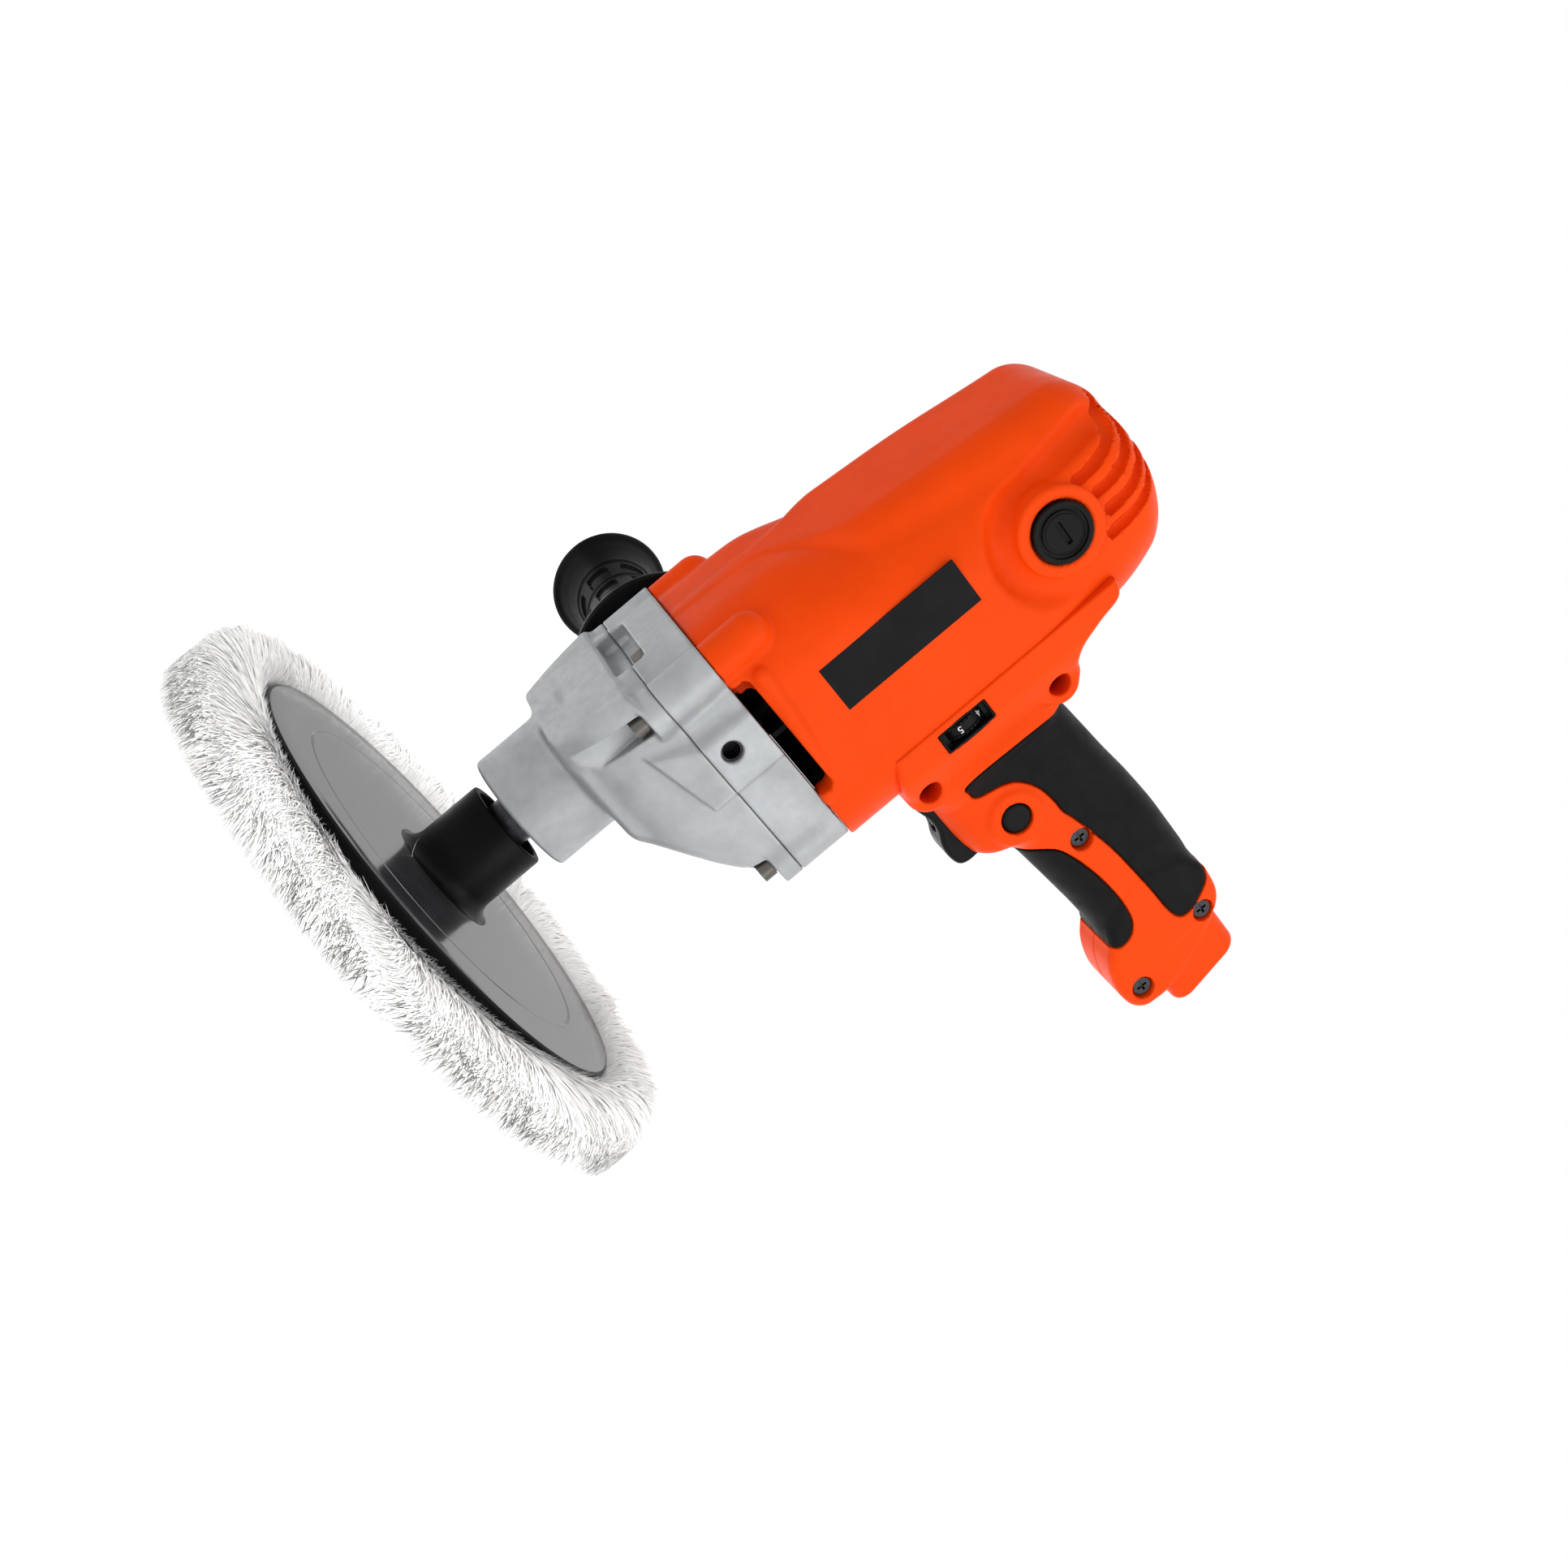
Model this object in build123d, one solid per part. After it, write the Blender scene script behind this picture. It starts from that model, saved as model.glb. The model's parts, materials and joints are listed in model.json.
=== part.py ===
from build123d import *
import os
from math import acos, atan2, cos, pi, radians, sin, sqrt, tan

# Rotary polisher, standing on its wool pad. Millimetres.
# The origin is the centre of the pad's working face, +Z runs up the spindle,
# the pistol handle points to +X and the side handle to +Y.

# ---------------------------------------------------------------- driving dimensions

# pad and backing plate
PAD_RADIUS = 117.5
PAD_FLOOR = 12.0
PAD_CREST = 30.0
FOAM_RADIUS = 89.0
FOAM_TOP = 16.5
PLATE_RADIUS = 90.0
PLATE_TOP = 23.5
PLATE_GROOVE_RADIUS = 68.2
PLATE_GROOVE_WIDTH = 0.8
PLATE_GAP = 0.6
HUB_RADIUS = 17.5
HUB_TOP = 53.0
HUB_RECESS_RADIUS = 14.5
HUB_RECESS_DEPTH = 4.0

# spindle
THREAD_RADIUS = 7.0
COLLAR_RADIUS = 9.0
SPINDLE_BOTTOM = 26.0
COLLAR_BOTTOM = HUB_TOP - HUB_RECESS_DEPTH
SPINDLE_TOP = 135.0

# gear train: two spur stages
PRESSURE_ANGLE = radians(25.0)
ADDENDUM = 0.9
DEDENDUM = 1.2
BACKLASH = 0.16
FIRST_MODULE = 1.0
FIRST_PINION_TEETH = 10
FIRST_GEAR_TEETH = 38
SECOND_MODULE = 1.25
SECOND_PINION_TEETH = 11
SECOND_GEAR_TEETH = 33
MOTOR_X = 29.5
FIRST_CENTRES = FIRST_MODULE * (FIRST_PINION_TEETH + FIRST_GEAR_TEETH) / 2
SECOND_CENTRES = SECOND_MODULE * (SECOND_PINION_TEETH + SECOND_GEAR_TEETH) / 2
LAY_X = (SECOND_CENTRES**2 - FIRST_CENTRES**2 + MOTOR_X**2) / (2 * MOTOR_X)
LAY_Y = sqrt(SECOND_CENTRES**2 - LAY_X**2)
SECOND_STAGE_BOTTOM = 99.0
SECOND_STAGE_HEIGHT = 14.0
FIRST_STAGE_BOTTOM = 116.0
FIRST_STAGE_HEIGHT = 9.0

# gear case
NECK_RADIUS = 23.6
NECK_BOTTOM = 58.5
NECK_TOP = 86.0
CAVITY_BOTTOM = 97.0
PARTING_Z = 124.0
REAR_WALL_BOTTOM = 127.0
FLANGE_Z = 145.0
CASE_TOP_X = -24.0
CASE_LOW_X = 78.5
CASE_HALF_Y = 48.0
CASE_CORNER = 30.0
SIDE_HOLE_X = 13.5
SIDE_HOLE_Z = 132.0
SIDE_HOLE_RADIUS = 4.0
SIDE_HOLE_DEPTH = 12.0
CASE_SCREWS = [(-12.0, 38.0), (-12.0, -38.0), (62.0, 35.0), (62.0, -35.0)]
CASE_SCREW_HEAD_Z = 116.0

# motor housing
HOUSING_FRONT = (-21.0, 79.0, 47.0)
HOUSING_MIDDLE = (-12.0, 79.0, 47.0)
HOUSING_REAR = (-8.0, 75.0, 45.0)
HOUSING_MIDDLE_Z = 235.0
HOUSING_SHOULDER_Z = 286.0
DOME_STEPS = [(0.0, 286.0), (2.0, 296.0), (5.0, 302.0), (9.0, 306.0), (15.0, 308.5)]
HOUSING_CORNER = 29.0
FAN_CHAMBER_RADIUS = 40.0
STATOR_RADIUS = 36.5
STATOR_BOTTOM = 178.0
STATOR_TOP = 230.0
ARMATURE_RADIUS = 23.5
BRUSH_Z = 266.0
BRUSH_CAP_RADIUS = 11.2
LABEL_Y = -46.5

# handle
SEAT_X = 69.5
SEAT_HALF_Y = 41.5
SEAT_BOTTOM = 171.0
SHELL_WALL = 3.0
SOFT_GRIP_DEPTH = 1.8
HANDLE_SCREWS = [(79.5, 176.0), (79.5, 236.0), (149.5, 210.8), (212.0, 232.0), (222.5, 194.5)]
LOCK_X = 122.6
LOCK_Z = 196.0
LOCK_RADIUS = 6.0
LOCK_PLAY = 0.35
DIAL_X = 64.5
DIAL_Y = -34.5
DIAL_Z = 200.0
DIAL_RADIUS = 11.0
DIAL_WIDTH = 6.0
DIAL_PLAY = 0.8
CORD_Z = 220.0
CORD_HOLE_RADIUS = 4.3
GLAND_X = 229.0
GLAND_LENGTH = 13.0
GLAND_RADIUS = 6.4
GLAND_FLANGE = 3.3
GLAND_FLANGE_RADIUS = 8.0

# side handle
GUARD_RADIUS = 36.5
GRIP_START_Y = 50.0
GRIP_END_Y = 178.0
KNOB_RADIUS = 25.0

parts = {}


# ---------------------------------------------------------------- shared shapes

def upright(radius, bottom, top, x=0.0, y=0.0):
    """Cylinder along Z between two heights."""
    middle = (bottom + top) / 2
    return Pos(x, y, middle) * Cylinder(radius, top - bottom)


def crosswise(radius, start_y, end_y, x, z):
    """Cylinder along Y between two Y values."""
    middle = (start_y + end_y) / 2
    return Pos(x, middle, z) * Rot(90, 0, 0) * Cylinder(radius, abs(end_y - start_y))


def lengthwise(radius, start_x, end_x, y, z):
    """Cylinder along X between two X values."""
    middle = (start_x + end_x) / 2
    return Pos(middle, y, z) * Rot(0, 90, 0) * Cylinder(radius, end_x - start_x)


def block(x_span, y_span, z_span):
    """Box between two values on each axis."""
    size = [b - a for a, b in (x_span, y_span, z_span)]
    middle = [(a + b) / 2 for a, b in (x_span, y_span, z_span)]
    return Pos(*middle) * Box(*size)


def tube(outer, inner, bottom, top, x=0.0, y=0.0):
    """Ring along Z."""
    return upright(outer, bottom, top, x, y) - upright(inner, bottom - 1, top + 1, x, y)


def side_span(side, near, far):
    """Y values between two distances from the middle plane, on one side of it."""
    return sorted((side * near, side * far))


def section(x_min, x_max, half_y, corner, z):
    """Rounded rectangle across the spindle direction."""
    width = x_max - x_min
    return Pos((x_min + x_max) / 2, 0, z) * RectangleRounded(width, 2 * half_y, corner)


def side_plate(points, half_y, corner=0.0):
    """Outline in the XZ plane, extruded the same distance to both sides."""
    outline = Polyline(*[(x, 0, z) for x, z in points], close=True)
    face = make_face(outline)
    if corner:
        face = fillet(face.vertices(), corner)
    return extrude(face, half_y, dir=(0, 1, 0), both=True)


def around(count, shape, x=0.0, y=0.0):
    """Copies of a shape about an upright axis at (x, y)."""
    turns = [Pos(x, y, 0) * Rot(0, 0, 360 * k / count) * Pos(-x, -y, 0) for k in range(count)]
    return [turn * shape for turn in turns]


def ball_bearing(bore, outer, bottom, width, x=0.0, y=0.0):
    """Inner race, outer race and balls, with a little play round each ball."""
    track = (bore + outer) / 2
    gap = (outer - bore) * 0.18
    ball = (outer - bore) * 0.28
    middle = bottom + width / 2
    inner = tube(track - gap, bore, bottom, bottom + width, x, y)
    rim = tube(outer, track + gap, bottom, bottom + width, x, y)
    groove = Pos(x, y, middle) * Torus(track, ball + 0.03)
    balls = around(8, Pos(x + track, y, middle) * Sphere(ball), x, y)
    return Compound(children=[inner - groove, rim - groove] + balls)


def involute_gear(teeth, module, bottom, height, bore, x, y, facing, gap_faces):
    """Spur gear whose tooth, or gap, is centred on the direction 'facing' in radians."""
    pitch = module * teeth / 2
    base = pitch * cos(PRESSURE_ANGLE)
    tip = pitch + ADDENDUM * module
    root = pitch - DEDENDUM * module
    half_tooth = pi / (2 * teeth) - BACKLASH / (4 * pitch)
    flank_start = max(base * 1.001, root)

    def involute(angle):
        return tan(angle) - angle

    def flank_angle(radius):
        return half_tooth + involute(PRESSURE_ANGLE) - involute(acos(base / radius))

    def at(radius, angle):
        return (radius * cos(angle), radius * sin(angle))

    radii = [flank_start + (tip - flank_start) * k / 4 for k in range(5)]
    phase = facing + (pi / teeth if gap_faces else 0.0)
    edges = []
    for k in range(teeth):
        centre = phase + 2 * pi * k / teeth
        following = centre + 2 * pi / teeth
        rising = [at(r, centre - flank_angle(r)) for r in radii]
        falling = [at(r, centre + flank_angle(r)) for r in reversed(radii)]
        root_angle = flank_angle(flank_start)
        edges.append(Spline(*rising))
        edges.append(Line(rising[-1], falling[0]))
        edges.append(Spline(*falling))
        low_left = falling[-1]
        low_right = at(flank_start, following - root_angle)
        if flank_start > root + 0.01:
            foot_left = at(root, centre + root_angle)
            foot_right = at(root, following - root_angle)
            edges.append(Line(low_left, foot_left))
            edges.append(Line(foot_left, foot_right))
            edges.append(Line(foot_right, low_right))
        else:
            edges.append(Line(low_left, low_right))
    gear = Pos(x, y, bottom) * extrude(make_face(edges), height)
    if bore:
        gear = gear - upright(bore, bottom - 1, bottom + height + 1, x, y)
    return gear


# ---------------------------------------------------------------- pad and plate

def make_pad():
    """Lambswool disc with a thick rolled rim, foam layer and moulded backing plate."""
    rim_turn = PAD_CREST / 2
    rim_start = PAD_RADIUS - rim_turn
    lip_radius = 96.0
    lip_height = 28.0
    seat_radius = PLATE_RADIUS + PLATE_GAP
    seat_height = 20.0
    outline = [
        Line((0, 0, 0), (rim_start, 0, 0)),
        ThreePointArc((rim_start, 0, 0), (PAD_RADIUS, 0, rim_turn), (rim_start, 0, PAD_CREST)),
        Line((rim_start, 0, PAD_CREST), (lip_radius, 0, lip_height)),
        Line((lip_radius, 0, lip_height), (seat_radius, 0, seat_height)),
        Line((seat_radius, 0, seat_height), (seat_radius, 0, PAD_FLOOR)),
        Line((seat_radius, 0, PAD_FLOOR), (0, 0, PAD_FLOOR)),
        Line((0, 0, PAD_FLOOR), (0, 0, 0)),
    ]
    parts["wool_pad"] = revolve(make_face(outline), Axis.Z)
    parts["foam_layer"] = upright(FOAM_RADIUS, PAD_FLOOR, FOAM_TOP)

    flare_radius = 21.0
    flare_height = 21.0
    insert_radius = 11.0
    insert_bottom = 20.5
    insert_top = HUB_TOP - HUB_RECESS_DEPTH
    flare_start = (HUB_RADIUS, 0, PLATE_TOP + flare_height)
    flare_end = (HUB_RADIUS + flare_radius, 0, PLATE_TOP)
    bow = 1 - sin(pi / 4)
    flare_middle = (HUB_RADIUS + flare_radius * bow, 0, PLATE_TOP + flare_height * bow)
    plate_outline = [
        Line((0, 0, FOAM_TOP), (PLATE_RADIUS - 1, 0, FOAM_TOP)),
        Line((PLATE_RADIUS - 1, 0, FOAM_TOP), (PLATE_RADIUS, 0, FOAM_TOP + 1)),
        Line((PLATE_RADIUS, 0, FOAM_TOP + 1), (PLATE_RADIUS, 0, PLATE_TOP - 1)),
        Line((PLATE_RADIUS, 0, PLATE_TOP - 1), (PLATE_RADIUS - 1, 0, PLATE_TOP)),
        Line((PLATE_RADIUS - 1, 0, PLATE_TOP), flare_end),
        ThreePointArc(flare_end, flare_middle, flare_start),
        Line(flare_start, (HUB_RADIUS, 0, HUB_TOP)),
        Line((HUB_RADIUS, 0, HUB_TOP), (HUB_RECESS_RADIUS, 0, HUB_TOP)),
        Line((HUB_RECESS_RADIUS, 0, HUB_TOP), (HUB_RECESS_RADIUS, 0, insert_top)),
        Line((HUB_RECESS_RADIUS, 0, insert_top), (0, 0, insert_top)),
        Line((0, 0, insert_top), (0, 0, FOAM_TOP)),
    ]
    plate = revolve(make_face(plate_outline), Axis.Z)
    groove_outer = PLATE_GROOVE_RADIUS + PLATE_GROOVE_WIDTH / 2
    groove_inner = PLATE_GROOVE_RADIUS - PLATE_GROOVE_WIDTH / 2
    groove = tube(groove_outer, groove_inner, PLATE_TOP - 0.5, PLATE_TOP + 1)
    insert_space = upright(insert_radius, insert_bottom, insert_top + 1)
    parts["backing_plate"] = plate - groove - insert_space
    insert = upright(insert_radius, insert_bottom, insert_top)
    parts["hub_insert"] = insert - upright(THREAD_RADIUS, SPINDLE_BOTTOM - 3, insert_top + 1)


def make_spindle():
    """Spindle with its collar, seats and output gear."""
    seat = 8.5
    gear_seat = 7.5
    upper = 5.0
    tail = 4.0
    steps = [
        (THREAD_RADIUS, SPINDLE_BOTTOM, COLLAR_BOTTOM),
        (COLLAR_RADIUS, COLLAR_BOTTOM, 69.0),
        (seat, 69.0, SECOND_STAGE_BOTTOM - 1),
        (gear_seat, SECOND_STAGE_BOTTOM - 1, SECOND_STAGE_BOTTOM + SECOND_STAGE_HEIGHT),
        (upper, SECOND_STAGE_BOTTOM + SECOND_STAGE_HEIGHT, REAR_WALL_BOTTOM),
        (tail - 0.05, REAR_WALL_BOTTOM, SPINDLE_TOP),
    ]
    shaft = Part() + [upright(r, low, high) for r, low, high in steps]
    for side in (-1, 1):
        shaft -= block((-12, 12), side_span(side, COLLAR_RADIUS - 1, 12), (54, 57.5))
    parts["spindle"] = shaft
    towards_lay = atan2(LAY_Y, LAY_X)
    gear = involute_gear(
        SECOND_GEAR_TEETH, SECOND_MODULE, SECOND_STAGE_BOTTOM, SECOND_STAGE_HEIGHT, gear_seat,
        0, 0, towards_lay, True,
    )
    stage_top = SECOND_STAGE_BOTTOM + SECOND_STAGE_HEIGHT
    lightening = upright(2.2, SECOND_STAGE_BOTTOM - 1, stage_top + 1, 13.2, 0)
    parts["output_gear"] = gear - around(6, lightening)
    parts["front_spindle_bearing"] = ball_bearing(seat + 0.05, 17.5, 69.0, 10.0)
    parts["rear_spindle_bearing"] = ball_bearing(tail, 11.0, 128.0, 7.0)
    parts["spindle_seal"] = tube(17.5, COLLAR_RADIUS + 0.1, 61.5, 67.5) - tube(15.5, 11.5, 64.0, 68.0)
    parts["bearing_circlip"] = tube(18.3, 14.5, 79.0, 80.2) - block((0, 20), (-2.5, 2.5), (78, 81))


def make_lay_shaft():
    """Intermediate shaft, with the small pinion cut on it, and the large first-stage gear."""
    journal = 4.0
    play = 0.04
    bush = 7.0
    towards_spindle = atan2(-LAY_Y, -LAY_X)
    towards_motor = atan2(-LAY_Y, MOTOR_X - LAY_X)
    pinion = involute_gear(
        SECOND_PINION_TEETH, SECOND_MODULE, SECOND_STAGE_BOTTOM - 1, SECOND_STAGE_HEIGHT + 2, 0,
        LAY_X, LAY_Y, towards_spindle, False,
    )
    shaft = upright(journal - play, 90.5, 134.0, LAY_X, LAY_Y)
    shoulder = upright(5.0, 114.5, FIRST_STAGE_BOTTOM, LAY_X, LAY_Y)
    parts["lay_shaft"] = pinion + shaft + shoulder
    gear = involute_gear(
        FIRST_GEAR_TEETH, FIRST_MODULE, FIRST_STAGE_BOTTOM, FIRST_STAGE_HEIGHT, journal - play,
        LAY_X, LAY_Y, towards_motor, True,
    )
    dish = tube(15.5, 8.0, FIRST_STAGE_BOTTOM + FIRST_STAGE_HEIGHT - 2, 140, LAY_X, LAY_Y)
    parts["lay_gear"] = gear - dish
    parts["front_lay_bush"] = tube(bush, journal, 90.0, CAVITY_BOTTOM, LAY_X, LAY_Y)
    parts["rear_lay_bush"] = tube(bush, journal, 128.0, 134.5, LAY_X, LAY_Y)


# ---------------------------------------------------------------- gear case

def case_outer_front():
    """Neck, and a cone of rounded sections that grows to the parting face."""
    neck = upright(NECK_RADIUS, NECK_BOTTOM, NECK_TOP + 6)
    sections = [
        section(-27.0, 33.0, 31.0, 20.0, 84.0),
        section(-27.0, 50.0, 40.0, 25.0, 94.0),
        section(-26.0, 61.0, 45.0, 28.0, 105.0),
        section(CASE_TOP_X, CASE_LOW_X - 8, CASE_HALF_Y - 0.5, CASE_CORNER, 114.0),
    ]
    cone = loft(sections, ruled=True)
    lip = extrude(section(CASE_TOP_X, CASE_LOW_X, CASE_HALF_Y, CASE_CORNER, 114.0), PARTING_Z - 114.0)
    return neck + cone + lip


def gear_cavity(bottom, top):
    """Room for both gear stages."""
    room = upright(23.2, bottom, top) + upright(21.3, bottom, top, LAY_X, LAY_Y)
    return room + upright(12.0, bottom, top, MOTOR_X, 0)


def make_gear_case():
    """Two castings, the screws that join them and the threaded side holes."""
    front = case_outer_front() - gear_cavity(CAVITY_BOTTOM, PARTING_Z + 1)
    front -= upright(10.2, NECK_BOTTOM - 1, 98.0)
    front -= upright(17.5, 61.5, 80.5)
    front -= tube(18.4, 12.0, 79.0, 80.2)
    front -= upright(13.5, 80.5, 98.0)
    front -= upright(7.0, 90.0, 98.0, LAY_X, LAY_Y)
    rear_face = section(CASE_TOP_X, CASE_LOW_X, CASE_HALF_Y, CASE_CORNER, PARTING_Z)
    rear = extrude(rear_face, FLANGE_Z - PARTING_Z)
    rear -= gear_cavity(PARTING_Z - 1, REAR_WALL_BOTTOM)
    rear -= upright(11.0, REAR_WALL_BOTTOM - 1, 135.0)
    rear -= upright(5.5, REAR_WALL_BOTTOM - 1, 136.0)
    rear -= upright(7.0, REAR_WALL_BOTTOM - 1, 134.5, LAY_X, LAY_Y)
    rear -= upright(7.0, REAR_WALL_BOTTOM - 1, 150.0, MOTOR_X, 0)
    rear -= upright(14.0, 131.0, 150.0, MOTOR_X, 0)
    rear -= upright(FAN_CHAMBER_RADIUS - 2, 141.0, 150.0, MOTOR_X, 0)
    for side in (-1, 1):
        mouth = side * (CASE_HALF_Y + 1)
        floor = side * (CASE_HALF_Y - SIDE_HOLE_DEPTH)
        rear -= crosswise(SIDE_HOLE_RADIUS, mouth, floor, SIDE_HOLE_X, SIDE_HOLE_Z)
    screws = []
    shank = 2.5
    for x, y in CASE_SCREWS:
        front -= upright(shank, 100.0, PARTING_Z + 1, x, y)
        front -= upright(4.6, 80.0, CASE_SCREW_HEAD_Z, x, y)
        rear -= upright(shank, PARTING_Z - 1, 137.0, x, y)
        head = upright(4.2, CASE_SCREW_HEAD_Z - 5, CASE_SCREW_HEAD_Z, x, y)
        socket = extrude(Pos(x, y, CASE_SCREW_HEAD_Z - 5) * RegularPolygon(2.3, 6), 2.6)
        screws.append(head + upright(shank, CASE_SCREW_HEAD_Z, 136.0, x, y) - socket)
    parts["gear_case_front"] = front
    parts["gear_case_rear"] = rear
    parts["gear_case_screws"] = Compound(children=screws)
    parts["front_armature_bearing"] = ball_bearing(6.05, 14.0, 131.0, 8.0, MOTOR_X, 0)


# ---------------------------------------------------------------- motor

def make_armature():
    """Armature shaft with its pinion, laminated core, windings, commutator and fan."""
    towards_lay = atan2(LAY_Y, LAY_X - MOTOR_X)
    pinion = involute_gear(
        FIRST_PINION_TEETH, FIRST_MODULE, FIRST_STAGE_BOTTOM - 0.5, FIRST_STAGE_HEIGHT + 2.5, 0,
        MOTOR_X, 0, towards_lay, False,
    )
    journal = upright(6.0, 127.0, 148.0, MOTOR_X, 0)
    body = upright(5.5, 148.0, 283.5, MOTOR_X, 0)
    tail = upright(3.95, 283.5, 291.0, MOTOR_X, 0)
    parts["armature_shaft"] = pinion + journal + body + tail
    core = tube(ARMATURE_RADIUS, 5.5, STATOR_BOTTOM + 1, STATOR_TOP - 1, MOTOR_X, 0)
    slot = block((MOTOR_X + 13, MOTOR_X + 30), (-1.1, 1.1), (STATOR_BOTTOM, STATOR_TOP))
    slot += upright(2.6, STATOR_BOTTOM, STATOR_TOP, MOTOR_X + 17, 0)
    parts["armature_core"] = core - around(12, slot, MOTOR_X, 0)
    low = tube(20.0, 5.5, STATOR_BOTTOM - 8, STATOR_BOTTOM + 1, MOTOR_X, 0)
    high = tube(20.0, 5.5, STATOR_TOP - 1, STATOR_TOP + 10, MOTOR_X, 0)
    run = upright(2.5, STATOR_BOTTOM + 1, STATOR_TOP - 1, MOTOR_X + 17, 0)
    windings = Part() + [low, high] + around(12, run, MOTOR_X, 0)
    notch = block((MOTOR_X + 15.5, MOTOR_X + 24), (-1.6, 1.6), (STATOR_BOTTOM - 9, STATOR_BOTTOM - 3))
    notch += block((MOTOR_X + 15.5, MOTOR_X + 24), (-1.6, 1.6), (STATOR_TOP + 5, STATOR_TOP + 11))
    half_step = Pos(MOTOR_X, 0, 0) * Rot(0, 0, 15) * Pos(-MOTOR_X, 0, 0)
    parts["armature_windings"] = windings - around(12, half_step * notch, MOTOR_X, 0)
    commutator = tube(13.0, 5.5, 253.0, 277.0, MOTOR_X, 0) + tube(15.0, 5.5, 250.0, 253.0, MOTOR_X, 0)
    slit = block((MOTOR_X + 11, MOTOR_X + 16), (-0.3, 0.3), (249, 278))
    parts["commutator"] = commutator - around(24, slit, MOTOR_X, 0)
    hub = tube(9.0, 6.0, 143.0, 156.0, MOTOR_X, 0)
    hub -= upright(6.0, 142.0, 148.0, MOTOR_X, 0)
    disc = tube(36.0, 6.0, 155.0, 157.0, MOTOR_X, 0)
    blade = block((MOTOR_X + 12, MOTOR_X + 35.5), (-0.9, 0.9), (146.0, 155.0))
    fan = Part() + [hub, disc] + around(11, blade, MOTOR_X, 0)
    parts["cooling_fan"] = fan - upright(5.5, 140, 160, MOTOR_X, 0) - upright(6.0, 140, 148, MOTOR_X, 0)


def make_stator():
    """Laminated ring with two poles, the field coils, the baffle and the rear bearing."""
    ring = tube(STATOR_RADIUS, 30.5, STATOR_BOTTOM, STATOR_TOP, MOTOR_X, 0)
    pole = tube(31.0, ARMATURE_RADIUS + 0.7, STATOR_BOTTOM, STATOR_TOP, MOTOR_X, 0)
    poles = pole & block((MOTOR_X - 17, MOTOR_X + 17), (-40, 40), (STATOR_BOTTOM, STATOR_TOP))
    parts["stator_core"] = ring + poles
    end_low = tube(30.0, ARMATURE_RADIUS + 1.2, STATOR_BOTTOM - 9, STATOR_BOTTOM - 0.2, MOTOR_X, 0)
    end_high = tube(30.0, ARMATURE_RADIUS + 1.2, STATOR_TOP + 0.2, STATOR_TOP + 9, MOTOR_X, 0)
    runs = tube(29.5, ARMATURE_RADIUS + 1.2, STATOR_BOTTOM - 2, STATOR_TOP + 2, MOTOR_X, 0)
    runs -= block((MOTOR_X - 18, MOTOR_X + 18), (-40, 40), (STATOR_BOTTOM - 3, STATOR_TOP + 3))
    coils = runs + end_low + end_high
    gap = block((MOTOR_X - 40, MOTOR_X + 40), (-0.6, 0.6), (100, 300))
    parts["field_coils"] = coils - gap
    baffle = tube(FAN_CHAMBER_RADIUS - 0.5, 24.0, 161.0, 163.5, MOTOR_X, 0)
    parts["fan_baffle"] = baffle + tube(27.0, 24.0, 160.0, 166.5, MOTOR_X, 0)
    parts["rear_armature_bearing"] = ball_bearing(4.0, 11.0, 284.0, 7.0, MOTOR_X, 0)
    parts["bearing_sleeve"] = tube(12.6, 11.0, 283.5, 291.5, MOTOR_X, 0)


def housing_outer():
    """Barrel of rounded sections with a domed rear end and the round brush bosses."""
    front = section(*HOUSING_FRONT, HOUSING_CORNER, FLANGE_Z)
    middle = section(*HOUSING_MIDDLE, HOUSING_CORNER, HOUSING_MIDDLE_Z)
    rear = section(*HOUSING_REAR, HOUSING_CORNER, HOUSING_SHOULDER_Z)
    barrel = loft([front, middle, rear], ruled=True)
    x_min, x_max, half_y = HOUSING_REAR
    rounding = []
    for inset, height in DOME_STEPS:
        corner = HOUSING_CORNER - inset * 0.6
        rounding.append(section(x_min + inset, x_max - inset, half_y - inset, corner, height))
    dome = loft(rounding, ruled=True)
    bosses = crosswise(17.0, -48.5, 48.5, MOTOR_X, BRUSH_Z)
    return barrel + dome + bosses


def handle_seat():
    """What the handle root leaves of the barrel: a narrower core with a flat underside."""
    return extrude(section(-60.0, SEAT_X, SEAT_HALF_Y, 26.0, SEAT_BOTTOM - 20), 140.0)


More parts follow.
